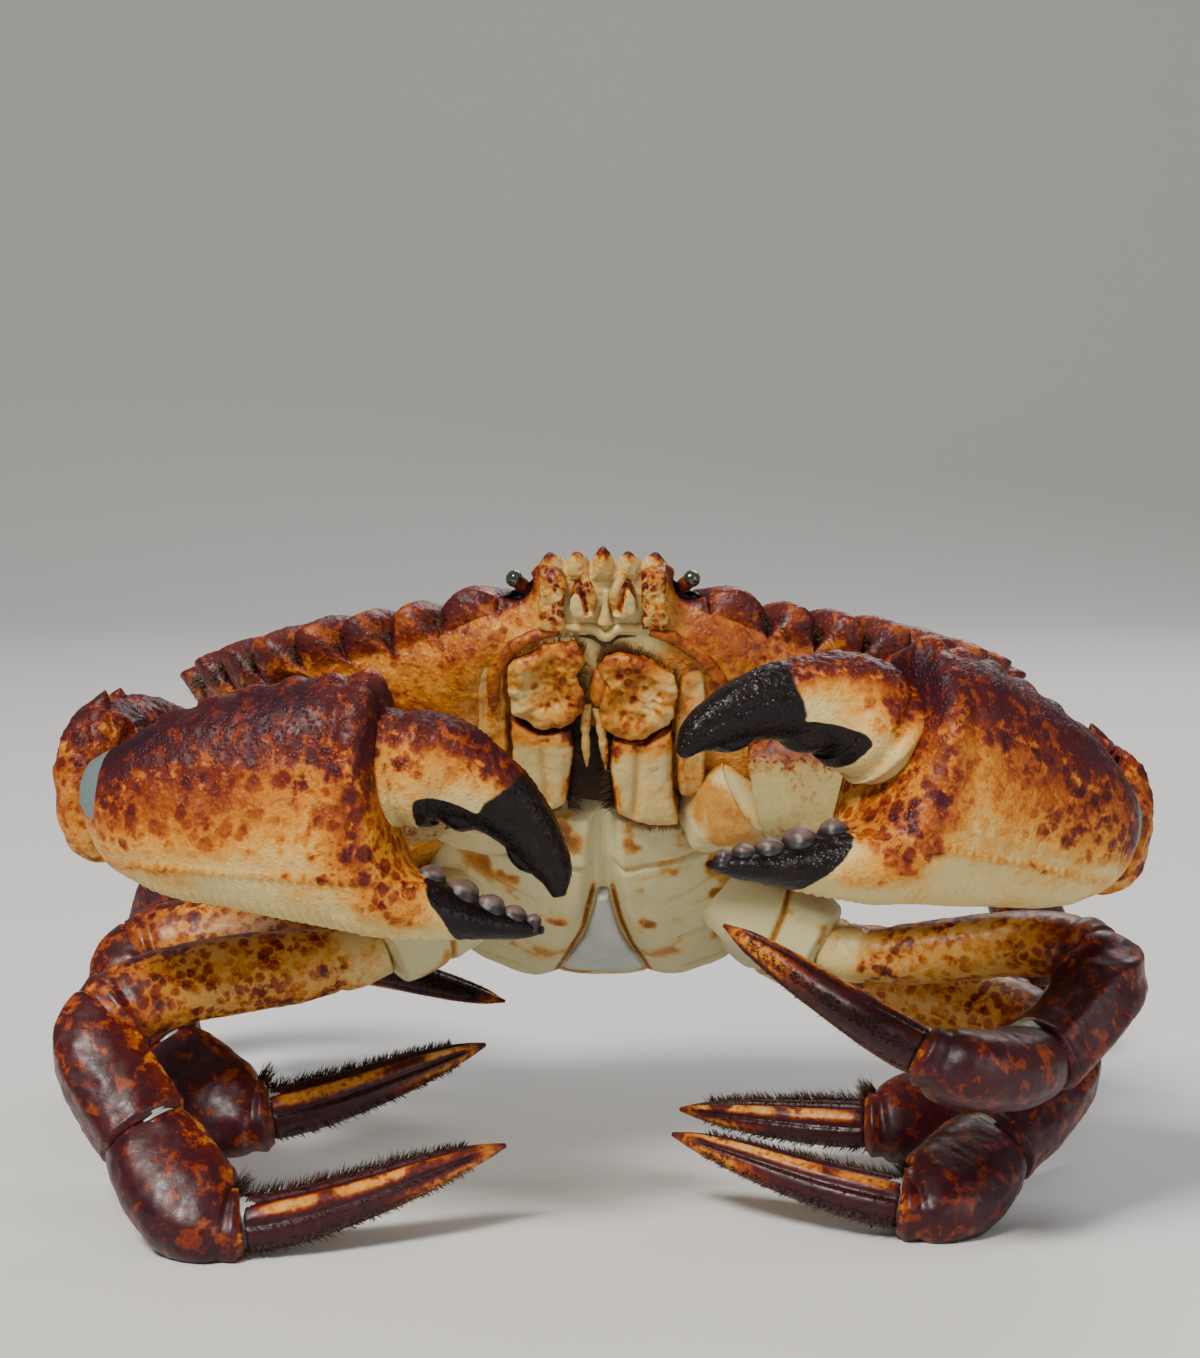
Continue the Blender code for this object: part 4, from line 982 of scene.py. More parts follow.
def hand_looks(grid, local):
    """Tone, black, pale and relief of the palm and the fixed finger."""
    a, h, t = local.T
    c, lowest, highest = grid.read("c", "low", "high")
    share = np.clip((h - lowest) / (highest - lowest), 0, 1)
    palm_end, _, palm_top = HAND_ROWS[4][:3]
    tall = np.where(a > palm_end, palm_top, highest)
    level = np.clip((h - lowest) / (tall - lowest), 0, 1)
    palm = smoothstep(47.5, 43.5, a)
    upper = smoothstep(0.35, 0.75, share)
    grain = (0.06 + 0.06 * upper * palm) * grains(local, 1.6, 11)
    lumps = 0.22 * rough(local, 7.0, 13) * palm
    ridges = np.zeros(len(a))
    for place in (10.0, 4.5, -1.5, -7.5):
        line = place + 0.04 * (a - 25)
        ridges += 0.24 * ridge(h - line, 0.9) * (0.6 + 0.4 * np.sin(a * 2.6 + place))
    ridges *= palm * smoothstep(6, 14, a) * (c > 0)
    keel = -10.6 + 0.02 * (a - 20)
    beads = ridge(h - keel, 0.5) + ridge(share - 0.03, 0.03)
    length = (c > -0.2) * smoothstep(6, 14, a) * smoothstep(62, 52, a)
    beads *= 0.55 * (0.65 + 0.35 * np.sin(a * 4.2)) * length
    crest = bump_rows(a, t, [(x, y) for x in (12.5, 18.5, 24.5, 30.5, 36.5) for y in (5.0, -4.0)], 2.3, 0.8)
    crest *= smoothstep(0.80, 0.93, share) * palm
    crest += bump_rows(a, t, [(41.0, 3.0)], 3.0, 1.6) * smoothstep(0.86, 0.97, share)
    lip = 0.75 * ridge(a - 42.2, 1.5) * upper * (0.8 + 0.2 * np.sin(h * 1.7 + 1.0) * np.cos(t * 1.3))
    lip -= 0.4 * ridge(a - 39.0, 1.2) * upper
    relief = grain + lumps + ridges + beads + crest + lip

    heights = (0, 0.17, 0.24, 0.32, 0.45, 0.6, 0.72, 0.88)
    tone = np.interp(level, heights, (0.02, 0.05, 0.16, 0.30, 0.42, 0.52, 0.78, 0.92))
    patch = 0.24 * smoothstep(39, 46, a) * smoothstep(58, 50, a) * smoothstep(0.05, 0.30, share)
    tone += patch * smoothstep(0.5, 0.25, level)
    band = np.interp(a, (26, 37, 40.5), (0.0, -0.14, 0.0))
    tone += band * smoothstep(0.15, 0.3, share) * smoothstep(0.75, 0.6, share)
    tone += 0.22 * ridge(a - 43.4, 1.3) * smoothstep(0.2, 0.45, level) - 0.14 * smoothstep(33, 40, a) * upper
    tone += 0.11 * ridge(h - keel, 0.7) * (a < 52) + 0.08 * smoothstep(14, 4, a)
    tone -= 0.16 * crest * smoothstep(0.5, 0.9, share)
    tone = np.where(c < -0.2, tone * 0.75, tone)
    black = smoothstep(50.5, 53.5, a + 0.62 * np.minimum(h + 9.0, 0.0))
    pale = smoothstep(3.9, 3.1, a) * smoothstep(0.25, 0.40, share)
    return {"tone": tone, "black": black, "pale": pale, "relief": relief}


def make_hand(side):
    claw = CLAWS[side]
    grid = hand_grid(270, 170)
    local = grid.points()
    looks = hand_looks(grid, local)
    add_grid(f"claw_{side}_hand_skin", grid, CLAW, "claw", [f"claw_{side}_hand"],
             world=claw_to_world(local, claw), **looks)

    rows = smooth_rows(HAND_ROWS, [k for k, _ in KNOBS])
    axes = claw_axes(claw)
    shape = [(0, 1.35, 1.35), (0.35, 1.28, 1.28), (0.65, 1.14, 1.14), (0.88, 0.78, 0.78), (1.0, 0.25, 0.25)]
    for number, ((place, radius), row) in enumerate(zip(KNOBS, rows)):
        middle = (place, row[1] - KNOB_SINK * radius, (row[2] + row[3]) / 2 + float(hand_bend(place)))
        centre = claw_to_world([middle], claw)[0]
        start = centre - axes[1] * radius * 1.2
        end = centre + axes[1] * radius * 1.05 + axes[0] * radius * 0.25
        knob = limb_grid([start, end], axes[1], axes[1], axes[0], shape, radius, 30, 32, 2.2)
        relief = 0.16 * rough(knob.points(), 1.6, 23 + number)
        worn = smoothstep(0.45, 0.8, knob.local["s"])
        add_grid(f"claw_{side}_knob_{number}", knob, KNOB, "finger_tip", (), relief, worn=worn)


def open_finger(points, degrees):
    angle = math.radians(degrees)
    p = np.array(points, float)
    a, h = p[:, 0] - HINGE[0], p[:, 1] - HINGE[1]
    p[:, 0] = HINGE[0] + a * math.cos(angle) - h * math.sin(angle)
    p[:, 1] = HINGE[1] + a * math.sin(angle) + h * math.cos(angle)
    return p


def make_finger(side):
    claw = CLAWS[side]
    rows = np.array(FINGER_ROWS)
    reach = lengths_along(rows[:, :2])
    reach /= reach[-1]
    share = np.linspace(0, 1, 220)
    dense = smooth_rows(np.column_stack([reach, rows]), share)
    way = np.gradient(dense[:, :2], axis=0)
    way = units(way)
    rings, q_of = [], []
    for (a, h, tall, thick), (wa, wh) in zip(dense, way):
        p, q, _, turn = section(130, thick, tall, tall, 2.2)
        rings.append(np.column_stack([a - q * wh, h + q * wa, p + hand_bend(a)]))
        q_of.append(turn)
    grid = Grid(rings, s=share[:, None], q=q_of)
    local = grid.points()
    s, q = grid.read("s", "q")
    grain = (0.06 + 0.26 * smoothstep(0.1, 0.6, q) * smoothstep(0.75, 0.5, s)) * grains(local, 1.1, 31)
    teeth = np.maximum(np.sin(s * 6 * math.pi - 0.6), 0) * smoothstep(-0.78, -0.95, q)
    teeth *= smoothstep(0.22, 0.3, s)
    teeth *= smoothstep(0.97, 0.85, s)
    groove = -0.25 * ridge(q - 0.15, 0.10) * smoothstep(0.5, 0.7, s) * smoothstep(1.0, 0.85, s)
    hinge = 0.7 * ridge(s - 0.06, 0.03) - 0.5 * ridge(s - 0.13, 0.03)
    pits = -0.10 * grains(local, 2.2, 35) * smoothstep(0.5, 0.7, s)
    relief = grain + 0.2 * rough(local, 5.0, 33) * smoothstep(0.7, 0.4, s) + teeth + groove + hinge + pits
    tone = np.interp(q, (-1, -0.5, -0.1, 0.3, 0.6, 1.0), (0.04, 0.10, 0.20, 0.40, 0.72, 0.85))
    tone -= 0.10 * smoothstep(0.2, 0.5, s) * (q < 0.4)
    black = smoothstep(0.0, 0.12, s - 0.45 - 0.03 * smoothstep(-0.7, 0.5, q))
    gape = smoothstep(-0.40, -0.62, q) * smoothstep(0.16, 0.24, s)
    black = np.maximum(black, gape)
    tone *= 1 - 0.9 * smoothstep(0.24, 0.14, s) * smoothstep(-0.2, -0.6, q)
    world = claw_to_world(open_finger(local, claw["open"]), claw)
    add_grid(f"claw_{side}_finger_skin", grid, CLAW, "finger_tip", [f"claw_{side}_finger"], relief, world,
             tone=tone, black=black, pale=0.0)


def add_spine(name, place, way, length):
    """A short spine of the wrist, standing at a place in a direction."""
    rows = [(0, 1.0, 1.0), (0.35, 0.75, 0.75), (0.75, 0.35, 0.35), (1, 0.06, 0.06)]
    side = np.cross(way, (0.2, 0.3, 0.9))
    grid = limb_grid([place, place + way * length], way, way, side, rows, SPINE_RADIUS, 16, 20, 2.0)
    add_grid(name, grid, CLAW, "claw", tone=0.72, black=0.0, pale=0.0)


def make_wrist(side):
    claw = CLAWS[side]
    out = -claw["sense"]
    root, elbow = (np.array(claw[k]) for k in ("root", "elbow"))
    a, _, t = claw_axes(claw)
    ends = [elbow, root + a * 1.5]
    grid = limb_grid(ends, (out, -0.1, 0.0), unit(a + t), (0, 0, 1.0), WRIST_ROWS, 1.0, 150, 130)
    points = grid.points()
    s = grid.local["s"]
    up = np.clip((points[:, 2] - root[2]) / 13.5, -1, 1)
    grain = (0.12 + 0.2 * smoothstep(-0.2, 0.5, up)) * grains(points, 1.15, 41)
    relief = grain + 0.5 * rough(points, 6.0, 43) + 0.5 * ridge(s - 0.93, 0.035)
    tone = np.interp(up, (-1, -0.5, 0.0, 0.5, 1.0), (0.26, 0.44, 0.54, 0.70, 0.84))
    tone += 0.2 * ridge(s - 0.72, 0.10) - 0.16 * smoothstep(0.86, 0.93, s)
    add_grid(f"claw_{side}_wrist_skin", grid, CLAW, "claw", [f"claw_{side}_wrist"], relief,
             tone=tone, black=0.0, pale=0.0)
    for number, (row, turn, length) in enumerate(((0.78, 0.0, 3.6), (0.52, 0.05, 2.6), (0.9, 0.12, 2.2))):
        ring = grid.rings[int(row * (grid.n - 1))]
        highest = ring[np.argmax(ring[:, 2])]
        way = unit(unit(highest - ring.mean(0)) + 0.35 * a + turn * t)
        add_spine(f"claw_{side}_wrist_spine_{number}", highest - way * 0.9, way, length)


def make_arm(side):
    claw = CLAWS[side]
    out = -claw["sense"]
    start, elbow = np.array(ARM_START) * (out, 1, 1), np.array(claw["elbow"])
    grid = limb_grid([start, elbow], (out, -0.3, 0.2), (out, 0.0, 0.0), (0, 1.0, 0), ARM_ROWS, 1.0, 120, 96)
    points = grid.points()
    s, q = grid.read("s", "q")
    above = points[:, 2] - np.interp(s, np.linspace(0, 1, grid.n), grid.rings.mean(1)[:, 2])
    tone = 0.08 + 0.14 * smoothstep(-0.2, 0.9, q) + 0.06 * s
    tone += 0.75 * smoothstep(2.5, 7.5, above)
    relief = 0.1 * grains(points, 1.3, 47) + 0.25 * rough(points, 6.0, 48)
    add_grid(f"claw_{side}_arm_skin", grid, ARM, "belly", [f"claw_{side}_arm"], relief, tone=tone)


# Walking legs.
def leg_grids(name):
    joints = np.array(LEG_JOINTS[name], float)
    size = LEG_SIZES[int(name[-1])]
    ways = [unit(b - a) for a, b in zip(joints[:-1], joints[1:])]
    side = unit(np.cross(ways[1], ways[3]))
    cuts = {
        2: unit(0.7 * ways[1] + 0.3 * ways[2]),
        3: unit(ways[2] + ways[3]),
        4: unit(0.2 * ways[3] + 0.8 * ways[4]),
    }
    spans = {
        "merus": ([1, 2], unit(ways[0] + ways[1]), cuts[2]),
        "carpus": ([2, 3], cuts[2], cuts[3]),
        "propodus": ([3, 4], cuts[3], cuts[4]),
        "dactyl": ([4, 5], cuts[4], ways[4]),
    }
    made = {}
    for part, (ids, first, last) in spans.items():
        points = joints[ids].copy()
        if part != "merus":
            points[0] -= first * SOCKET_DEPTH
        made[part] = limb_grid(points, first, last, side, LEG_SHAPES[part], size, LEG_RINGS[part], LEG_SIDES)
    return made, joints, size


def leg_looks(part, s, c, q, points, seed):
    """Tone and relief of one leg segment; q is +1 on the edge that bends inwards and -1 on the outer edge."""
    edge = np.abs(q)
    if part == "merus":
        tone = 0.16 + 0.30 * smoothstep(0.66, 1.0, s)
        tone += 0.42 * smoothstep(0.35, 0.95, -q) * smoothstep(0.15, 0.7, s)
        tone = tone * smoothstep(0.10, 0.22, s) + 0.03
        relief = 0.07 * grains(points, 1.1, seed) + 0.12 * rough(points, 4.0, seed + 1)
        relief += 0.45 * ridge(s - 0.955, 0.02) - 0.35 * ridge(s - 0.915, 0.018)
        relief += 0.14 * smoothstep(0.85, 1.0, edge) * grains(points, 1.4, seed + 2)
        relief -= 0.4 * ridge(s - 0.17, 0.014)
    elif part == "carpus":
        tone = 0.80 + 0.06 * smoothstep(0.1, 0.9, s) - 0.24 * smoothstep(0.3, 0.9, q)
        relief = 0.06 * grains(points, 1.3, seed) + 0.22 * rough(points, 4.0, seed + 1)
        relief += 0.4 * ridge(c - 0.55, 0.16) + 0.4 * ridge(c + 0.55, 0.16)
        relief -= 0.35 * ridge(c, 0.3)
        relief += 0.35 * ridge(s - 0.95, 0.025)
    elif part == "propodus":
        tone = 0.88 - 0.26 * smoothstep(0.25, 1.0, q) - 0.30 * smoothstep(0.94, 1.0, s)
        relief = 0.06 * grains(points, 1.3, seed) + 0.20 * rough(points, 4.5, seed + 1)
        relief -= 0.45 * ridge(np.abs(c) - 0.75, 0.2) * ridge(q, 0.35)
        relief += 0.5 * ridge(s - 0.955, 0.022) - 0.4 * ridge(s - 0.9, 0.025)
    else:
        stripe = np.exp(-((q / 0.26) ** 4))
        streak = noise(np.column_stack([9.0 * s, 2.5 * q, 0 * s + seed]), 1.0, seed + 5)
        tone = 0.92 - 0.62 * stripe * smoothstep(0.02, 0.12, s)
        tone += (0.50 * smoothstep(0.0, 0.5, streak) - 0.10 * smoothstep(0.1, 0.6, -streak)) * stripe
        tone -= 0.12 * stripe * smoothstep(0.45, 0.75, s)
        lower = smoothstep(0.60, 0.90, -q) * smoothstep(0.45, 0.75, s)
        tone = tone * (1 - lower) + 0.30 * lower
        tip = 0.36 * smoothstep(0.86, 0.93, s)
        tone = tone * smoothstep(0.93, 0.86, s) + tip + 0.30 * smoothstep(0.93, 1.0, s)
        furrow = ridge(np.abs(q) - 0.42, 0.13)
        relief = 0.30 * stripe - 0.38 * furrow + 0.05 * grains(points, 0.8, seed)
        relief *= smoothstep(1.0, 0.85, s) * smoothstep(0.0, 0.1, s)
    return tone, relief


def leg_bristles(name, made, rng):
    """Fringes along the edges and ridges of the last segment, and tufts beside its hinge."""
    hairs = []
    grid = made["dactyl"]
    rings = grid.rings
    middles = rings.mean(1)
    q = -grid.local["q"][: grid.m]
    along = np.gradient(middles, axis=0)
    along = units(along)
    for target, count, long_mm in FRINGES:
        near = np.argsort(np.abs(q - target))[:6]
        for share in np.sort(rng.uniform(0.03, 0.86, count)):
            i = int(share * (grid.n - 1))
            j = near[rng.integers(len(near))]
            root = rings[i, j] + rng.normal(0, 0.12, 3)
            out = unit(rings[i, j] - middles[i])
            way = out + along[i] * rng.uniform(0.5, 1.1) + rng.normal(0, 0.20, 3)
            hairs.append((root, way, long_mm * rng.uniform(0.5, 1.1) * (1.0 - 0.55 * share)))
    block = made["propodus"]
    turn = -block.local["q"][: block.m]
    near = np.argsort(np.abs(turn - 1.0))[:14]
    ahead = unit(block.rings[-1].mean(0) - block.rings[-8].mean(0))
    for _ in range(150):
        i = block.n - 1 - int(rng.integers(2, 9))
        j = near[rng.integers(len(near))]
        out = unit(block.rings[i, j] - block.rings[i].mean(0))
        way = out + ahead * rng.uniform(0.5, 1.0) + rng.normal(0, 0.16, 3)
        hairs.append((block.rings[i, j] - 0.2 * out, way, rng.uniform(1.8, 4.0)))
    bristles(f"{name}_bristles", hairs, 0.085, BRISTLE)


def make_leg(name, seed):
    made, joints, size = leg_grids(name)
    for part, grid in made.items():
        s, c, q = grid.read("s", "c", "q")
        tone, relief = leg_looks(part, s, c, -q, grid.points(), seed)
        reach = {"merus": 0.0, "carpus": 0.035, "propodus": 0.055, "dactyl": 0.035}[part]
        pale = smoothstep(reach + 0.015, reach, s) * (reach > 0)
        relief = relief * (1 - pale) - 0.45 * pale
        skin = {"merus": THIGH, "dactyl": TOE}.get(part, LEG)
        add_grid(f"{name}_{part}_skin", grid, skin, "leg", [f"{name}_{part}"], relief, tone=tone, pale=pale)
    rows = [(0, 0.5, 0.5), (0.3, 0.95, 0.95), (0.7, 0.95, 0.95), (1, 0.5, 0.5)]
    for number, joint, shift in ((2, 4.7, 2.6), (3, 5.2, 1.3), (4, 3.6, 1.0)):
        ways = [unit(joints[k + 1] - joints[k]) for k in (number - 1, number)]
        middle = joints[number] + unit(ways[1] - ways[0]) * shift * size
        reach = unit(ways[0] + ways[1]) * joint * 0.7 * size
        side = unit(np.cross(ways[0], ways[1]) + (0, 0, 1e-6))
        ends = [middle - reach, middle + reach]
        ball = limb_grid(ends, reach, reach, side, rows, joint * size, 30, 40, 2.0)
        folds = 0.12 * np.sin(ball.local["s"] * 60)
        add_grid(f"{name}_joint_{number}", ball, MEMBRANE, "leg", (), folds)
    leg_bristles(name, made, np.random.default_rng(seed))


# Underside.
def make_breast():
    at = np.linspace(BREAST_ROWS[0][0], BREAST_ROWS[-1][0], 170)
    half = math.pi * np.linspace(0, 1, 101) ** BREAST_CROWDING
    turns = np.concatenate([half, -half[1:-1][::-1]]) - math.pi / 2
    rings, below_of = [], []
    for f, (wide, narrow, low, high, valley) in zip(at, smooth_rows(sorted(BREAST_ROWS), at)):
        middle = (low + high) / 2
        c, s = np.cos(turns), np.sin(turns)
        p = np.sign(c) * np.abs(c) ** (2 / BREAST_SQUARENESS)
        half_q = np.where(s > 0, high - middle, middle - low)
        q = half_q * np.sign(s) * np.abs(s) ** (2 / BREAST_SQUARENESS)
        below = np.clip(-q / (middle - low), 0, 1)
        p = p * (wide + (narrow - wide) * below)
        q = q + VALLEY_DEPTH * below * np.exp(-((p / valley) ** 4))
        rings.append(np.column_stack([p, np.full(len(p), f), middle + q]))
        below_of.append(below)
    grid = Grid(rings, below=below_of)
    points = grid.points()
    x, f = np.abs(points[:, 0]), points[:, 1]
    low = smoothstep(0.05, 0.4, grid.local["below"])
    grooves = np.zeros(len(x))
    stains = np.zeros(len(x))
    patchy = smoothstep(-0.45, 0.20, rough(points, 5.0, 63))
    for start, lean, depth, reach in BREAST_GROOVES:
        line = start + lean * x - 0.010 * x**2
        grooves += depth * ridge(f - line, 0.42) * smoothstep(reach, reach + 3.0, x)
        stains += ridge(f - line + 3.0, 2.1) * smoothstep(4.5, 7.0, x) * smoothstep(27.0, 16.0, x)
    middle = ridge(x, 0.5) * smoothstep(-9.0, -4.0, f)
    relief = (-0.75 * grooves - 0.5 * middle) * low + 0.35 * rough(points, 8.0, 61)
    relief += 0.05 * grains(points, 1.4, 62)
    tone = 0.02 + 0.70 * stains * patchy * smoothstep(-30.0, -14.0, f) + 0.22 * grooves * low
    flap_f, flap_half = (np.array([row[k] for row in TAIL_FLAP_ROWS[::-1]]) for k in (1, 3))
    # A dark line round the tail flap on the breast: painted shade in the crease where the flap lies.
    outline = ridge(x - np.interp(f, flap_f, flap_half) - 0.8, 0.45) * smoothstep(-5.0, -8.0, f)
    tone += 0.80 * outline * low
    collar = ridge(f - 4.5, 2.6) * smoothstep(2.0, 5.0, x)
    tone += 0.70 * collar * smoothstep(-0.45, 0.25, rough(points, 4.0, 64))
    add_grid("breast_skin", grid, BELLY, "belly", ["breast"], relief, body_to_world(points), tone=tone)


def make_hips():
    """Pale blocks that join the legs and claws to the body."""
    hips = []
    for name, joints in LEG_JOINTS.items():
        hips.append((name, joints[0], joints[1], HIP_RADIUS * LEG_SIZES[int(name[-1])]))
    for word, side in SIDES:
        ends = [np.array(p) * (side, 1, 1) for p in (ARM_ROOT, ARM_START)]
        hips.append((f"claw_{word}", *ends, ARM_HIP_RADIUS))
    for number, (name, root, end, radius) in enumerate(hips):
        way = unit(np.subtract(end, root))
        side = np.cross(way, (0, 0, 1.0))
        grid = limb_grid([root, end], way, way, side, HIP_ROWS, radius, 90, 80, 2.8)
        points = grid.points()
        s, c, q = grid.read("s", "c", "q")
        lean = 0.07 * c + 0.04 * q
        relief = 0.45 * rough(points, 6.0, 71 + number)
        stain = smoothstep(0.1, 0.6, rough(points, 5.0, 72 + number)) * smoothstep(0.60, 0.66, s - lean)
        if name.startswith("claw"):
            relief -= 1.0
            # Rust-coloured patches, made stronger, and a higher base tone: partly rust, partly painted shade
            # of the hollow beside the jaws.
            rust_and_shade = smoothstep(-0.25, 0.45, rough(points, 9.0, 90 + number))
            tone = 0.10 + 0.30 * stain + 0.26 * rust_and_shade
        else:
            seams = ridge(s - 0.60 - lean, 0.022)
            relief -= 0.9 * seams
            tone = 0.02 + 0.30 * stain + 0.45 * seams
        add_grid(f"hip_{name}", grid, BELLY, "belly", (), relief, tone=tone)


def make_flap(name, node, rows, segments, seed):
    """A plate of the tail, curved under the body; its grooves are at the shares in segments."""
    share = np.array([r[0] for r in rows])
    at = np.linspace(share[0], share[-1], 110)
    line = smooth_rows(rows, at)
    way = np.gradient(line[:, :2], axis=0)
    way = units(way)
    rings = []
    for (f, d, half), (wf, wd) in zip(line, way):
        inward = np.array([-wd, wf])
        if inward @ (np.array([-20.0, -20.0]) - (f, d)) < 0:
            inward = -inward
        p, q, _, _ = section(100, half, TAIL_THICKNESS / 2, TAIL_THICKNESS / 2, 3.0)
        q = q + TAIL_THICKNESS / 2
        rings.append(np.column_stack([p, f + q * inward[0], d + q * inward[1]]))
    grid = Grid(rings, s=np.linspace(0, 1, 110)[:, None])
    points = grid.points()
    s, x = grid.local["s"], points[:, 0]
    relief = 0.12 * rough(points, 4.0, seed)
    if segments:
        relief += 0.25 * ridge(x, 3.0)
        tone = 0.05 + 0.34 * smoothstep(0.0, 0.5, rough(points, 3.5, seed + 1))
    else:
        relief -= 0.4 * ridge(x, 0.35) * smoothstep(0.55, 0.75, s)
        relief -= 0.3 * ridge(s - 0.72 - 0.01 * np.abs(x), 0.012) * smoothstep(4.5, 2.5, np.abs(x))
        tone = 0.5 + 0.5 * noise(points, 5.0, seed + 1)
    for k in segments:
        relief -= 0.5 * ridge(s - k, 0.02)
    material = BELLY if segments else TAIL_PLATE
    add_grid(name, grid, material, "belly", [node], relief, body_to_world(points), tone=tone)


# Mouth and face.
def plane_frame(top, low):
    top, low = np.array(top), np.array(low)
    down = unit(low - top)
    out = np.array([-down[1], down[0]])
    return top, down, (out if out[1] < 0 else -out)


def smooth_outline(points, count):
    """A rounded closed line through the corners of an outline."""
    p = np.array(points, float)
    n = len(p)
    at = np.linspace(0, n, count, endpoint=False)
    i = np.floor(at).astype(int)
    u = (at - i)[:, None]
    before, here, after, next_after = p[(i - 1) % n], p[i % n], p[(i + 1) % n], p[(i + 2) % n]
    tight = 0.15
    first, last = tight * (after - before), tight * (next_after - here)
    return hermite(u, 1.0, here, first, after, last)


def plate_grid(outline, depths, plane, crown, side, shift=(0.0, 0.0)):
    """A plate with an outline in a plane, a straight edge between two depths and a rounded crown."""
    top, down, out = plane
    line = smooth_outline(outline, 170) * (side, 1) + shift
    middle = line.mean(0)
    low, high = depths
    rings, flats, insets = [], [], []
    insets_of = np.concatenate([[1.0, 1.0, 1.0], np.cos(np.linspace(0.05, 0.5 * math.pi - 0.03, 44))])
    for number, inset in enumerate(insets_of):
        flat = middle + (line - middle) * inset
        if number < 3:
            depth = low + number * (high - 1.0 - low) / 3
        else:
            depth = high - 1.0 + (1.0 + crown) * (1 - inset**7) ** 0.6
        f_d = top + flat[:, 1:2] * down + depth * out
        rings.append(np.column_stack([flat[:, 0], f_d]))
        flats.append(flat)
        insets.append(np.full(len(line), inset))
    flats = np.array(flats)
    return Grid(rings, x=flats[:, :, 0], m=flats[:, :, 1], inset=insets)


def jaw_looks(part, x, m, inset, points):
    """Tone and relief of a jaw plate; x runs outwards from the mouth's middle and m down it."""
    if part == "jaw_upper":
        rim = smoothstep(0.5, 0.8, inset) * smoothstep(1.0, 0.9, inset)
        hollow = np.exp(-((x - 6.5) ** 2 + (m - 7.0) ** 2) / 9.0)
        pits = grains(points, 1.5, 87, 0.5) * smoothstep(0.85, 0.6, inset)
        relief = 0.75 * rim - 0.7 * hollow + 0.5 * rough(points, 2.2, 81)
        relief += 0.14 * grains(points, 0.9, 82)
        relief -= 0.6 * pits
        tone = 0.29 + 0.14 * rough(points, 2.4, 83) - 0.17 * smoothstep(6.0, 9.5, x) * smoothstep(1.0, 6.0, m)
        # Darker in the sunk pits and at the plate's edges: painted shade.
        tone += 0.10 * smoothstep(3.0, 0.0, m) + 0.26 * pits + 0.08 * smoothstep(0.93, 0.99, inset)
    elif part == "jaw_lower":
        groove = ridge(x - 7.2 + 0.06 * (m - 20), 0.7) * smoothstep(0.95, 0.8, inset)
        relief = -0.7 * groove + 0.2 * rough(points, 3.5, 84) + 0.08 * grains(points, 1.0, 85)
        inner = smoothstep(5.2, 3.6, x)
        tone = 0.04 + 0.34 * inner * smoothstep(-0.3, 0.3, rough(points, 2.0, 88))
        # Darker along the top, under the upper plates: painted shade.
        tone += 0.26 * smoothstep(17.5, 15.0, m)
        # Darker at the plate's edges and in the groove: painted shade.
        tone += 0.30 * smoothstep(0.93, 0.99, inset) + 0.06 * groove
    else:
        rim = smoothstep(0.6, 0.85, inset) * smoothstep(1.0, 0.93, inset)
        relief = 0.25 * rough(points, 3.0, 86) + 0.4 * rim
        # Darker at the plate's edges: painted shade.
        tone = 0.18 + 0.14 * rough(points, 4.0, 89) + 0.26 * smoothstep(0.90, 0.98, inset)
    return tone, relief


def on_plane(plane, x, m, depth):
    """Body point at x, m down a plane and depth out of it."""
    top, down, out = plane
    f_d = top + m * down + depth * out
    return (x, *f_d)


def add_rod(name, plane, line, rows, material, tone, rings=60, slot="mouth"):
    """A soft tube through points x, m and depth of a plane; its rows hold share and half sizes."""
    points = body_to_world([on_plane(plane, *point) for point in line])
    first, last = unit(points[1] - points[0]), unit(points[-1] - points[-2])
    grid = limb_grid(points, first, last, (0.9, 0.2, 0.4), rows, 1.0, rings, 28, 2.0)
    add_grid(name, grid, material, slot, (), 0.10 * rough(grid.points(), 1.4, 92), tone=tone)


def make_jaws(mouth, word, side):
    for part, outline in JAW_PLATES.items():
        shift = (JAW_SHIFT, JAW_DROP[word])
        grid = plate_grid(outline, JAW_DEPTHS[part], mouth, JAW_CROWN, side, shift)
        points = grid.points()
        x, m, inset = grid.read("x", "m", "inset")
        tone, relief = jaw_looks(part, np.abs(x - JAW_SHIFT), m - JAW_DROP[word], inset, points)
        add_grid(f"{part}_{word}_skin", grid, MOUTH, "mouth", [f"{part}_{word}"], relief,
                 body_to_world(points), tone=tone)


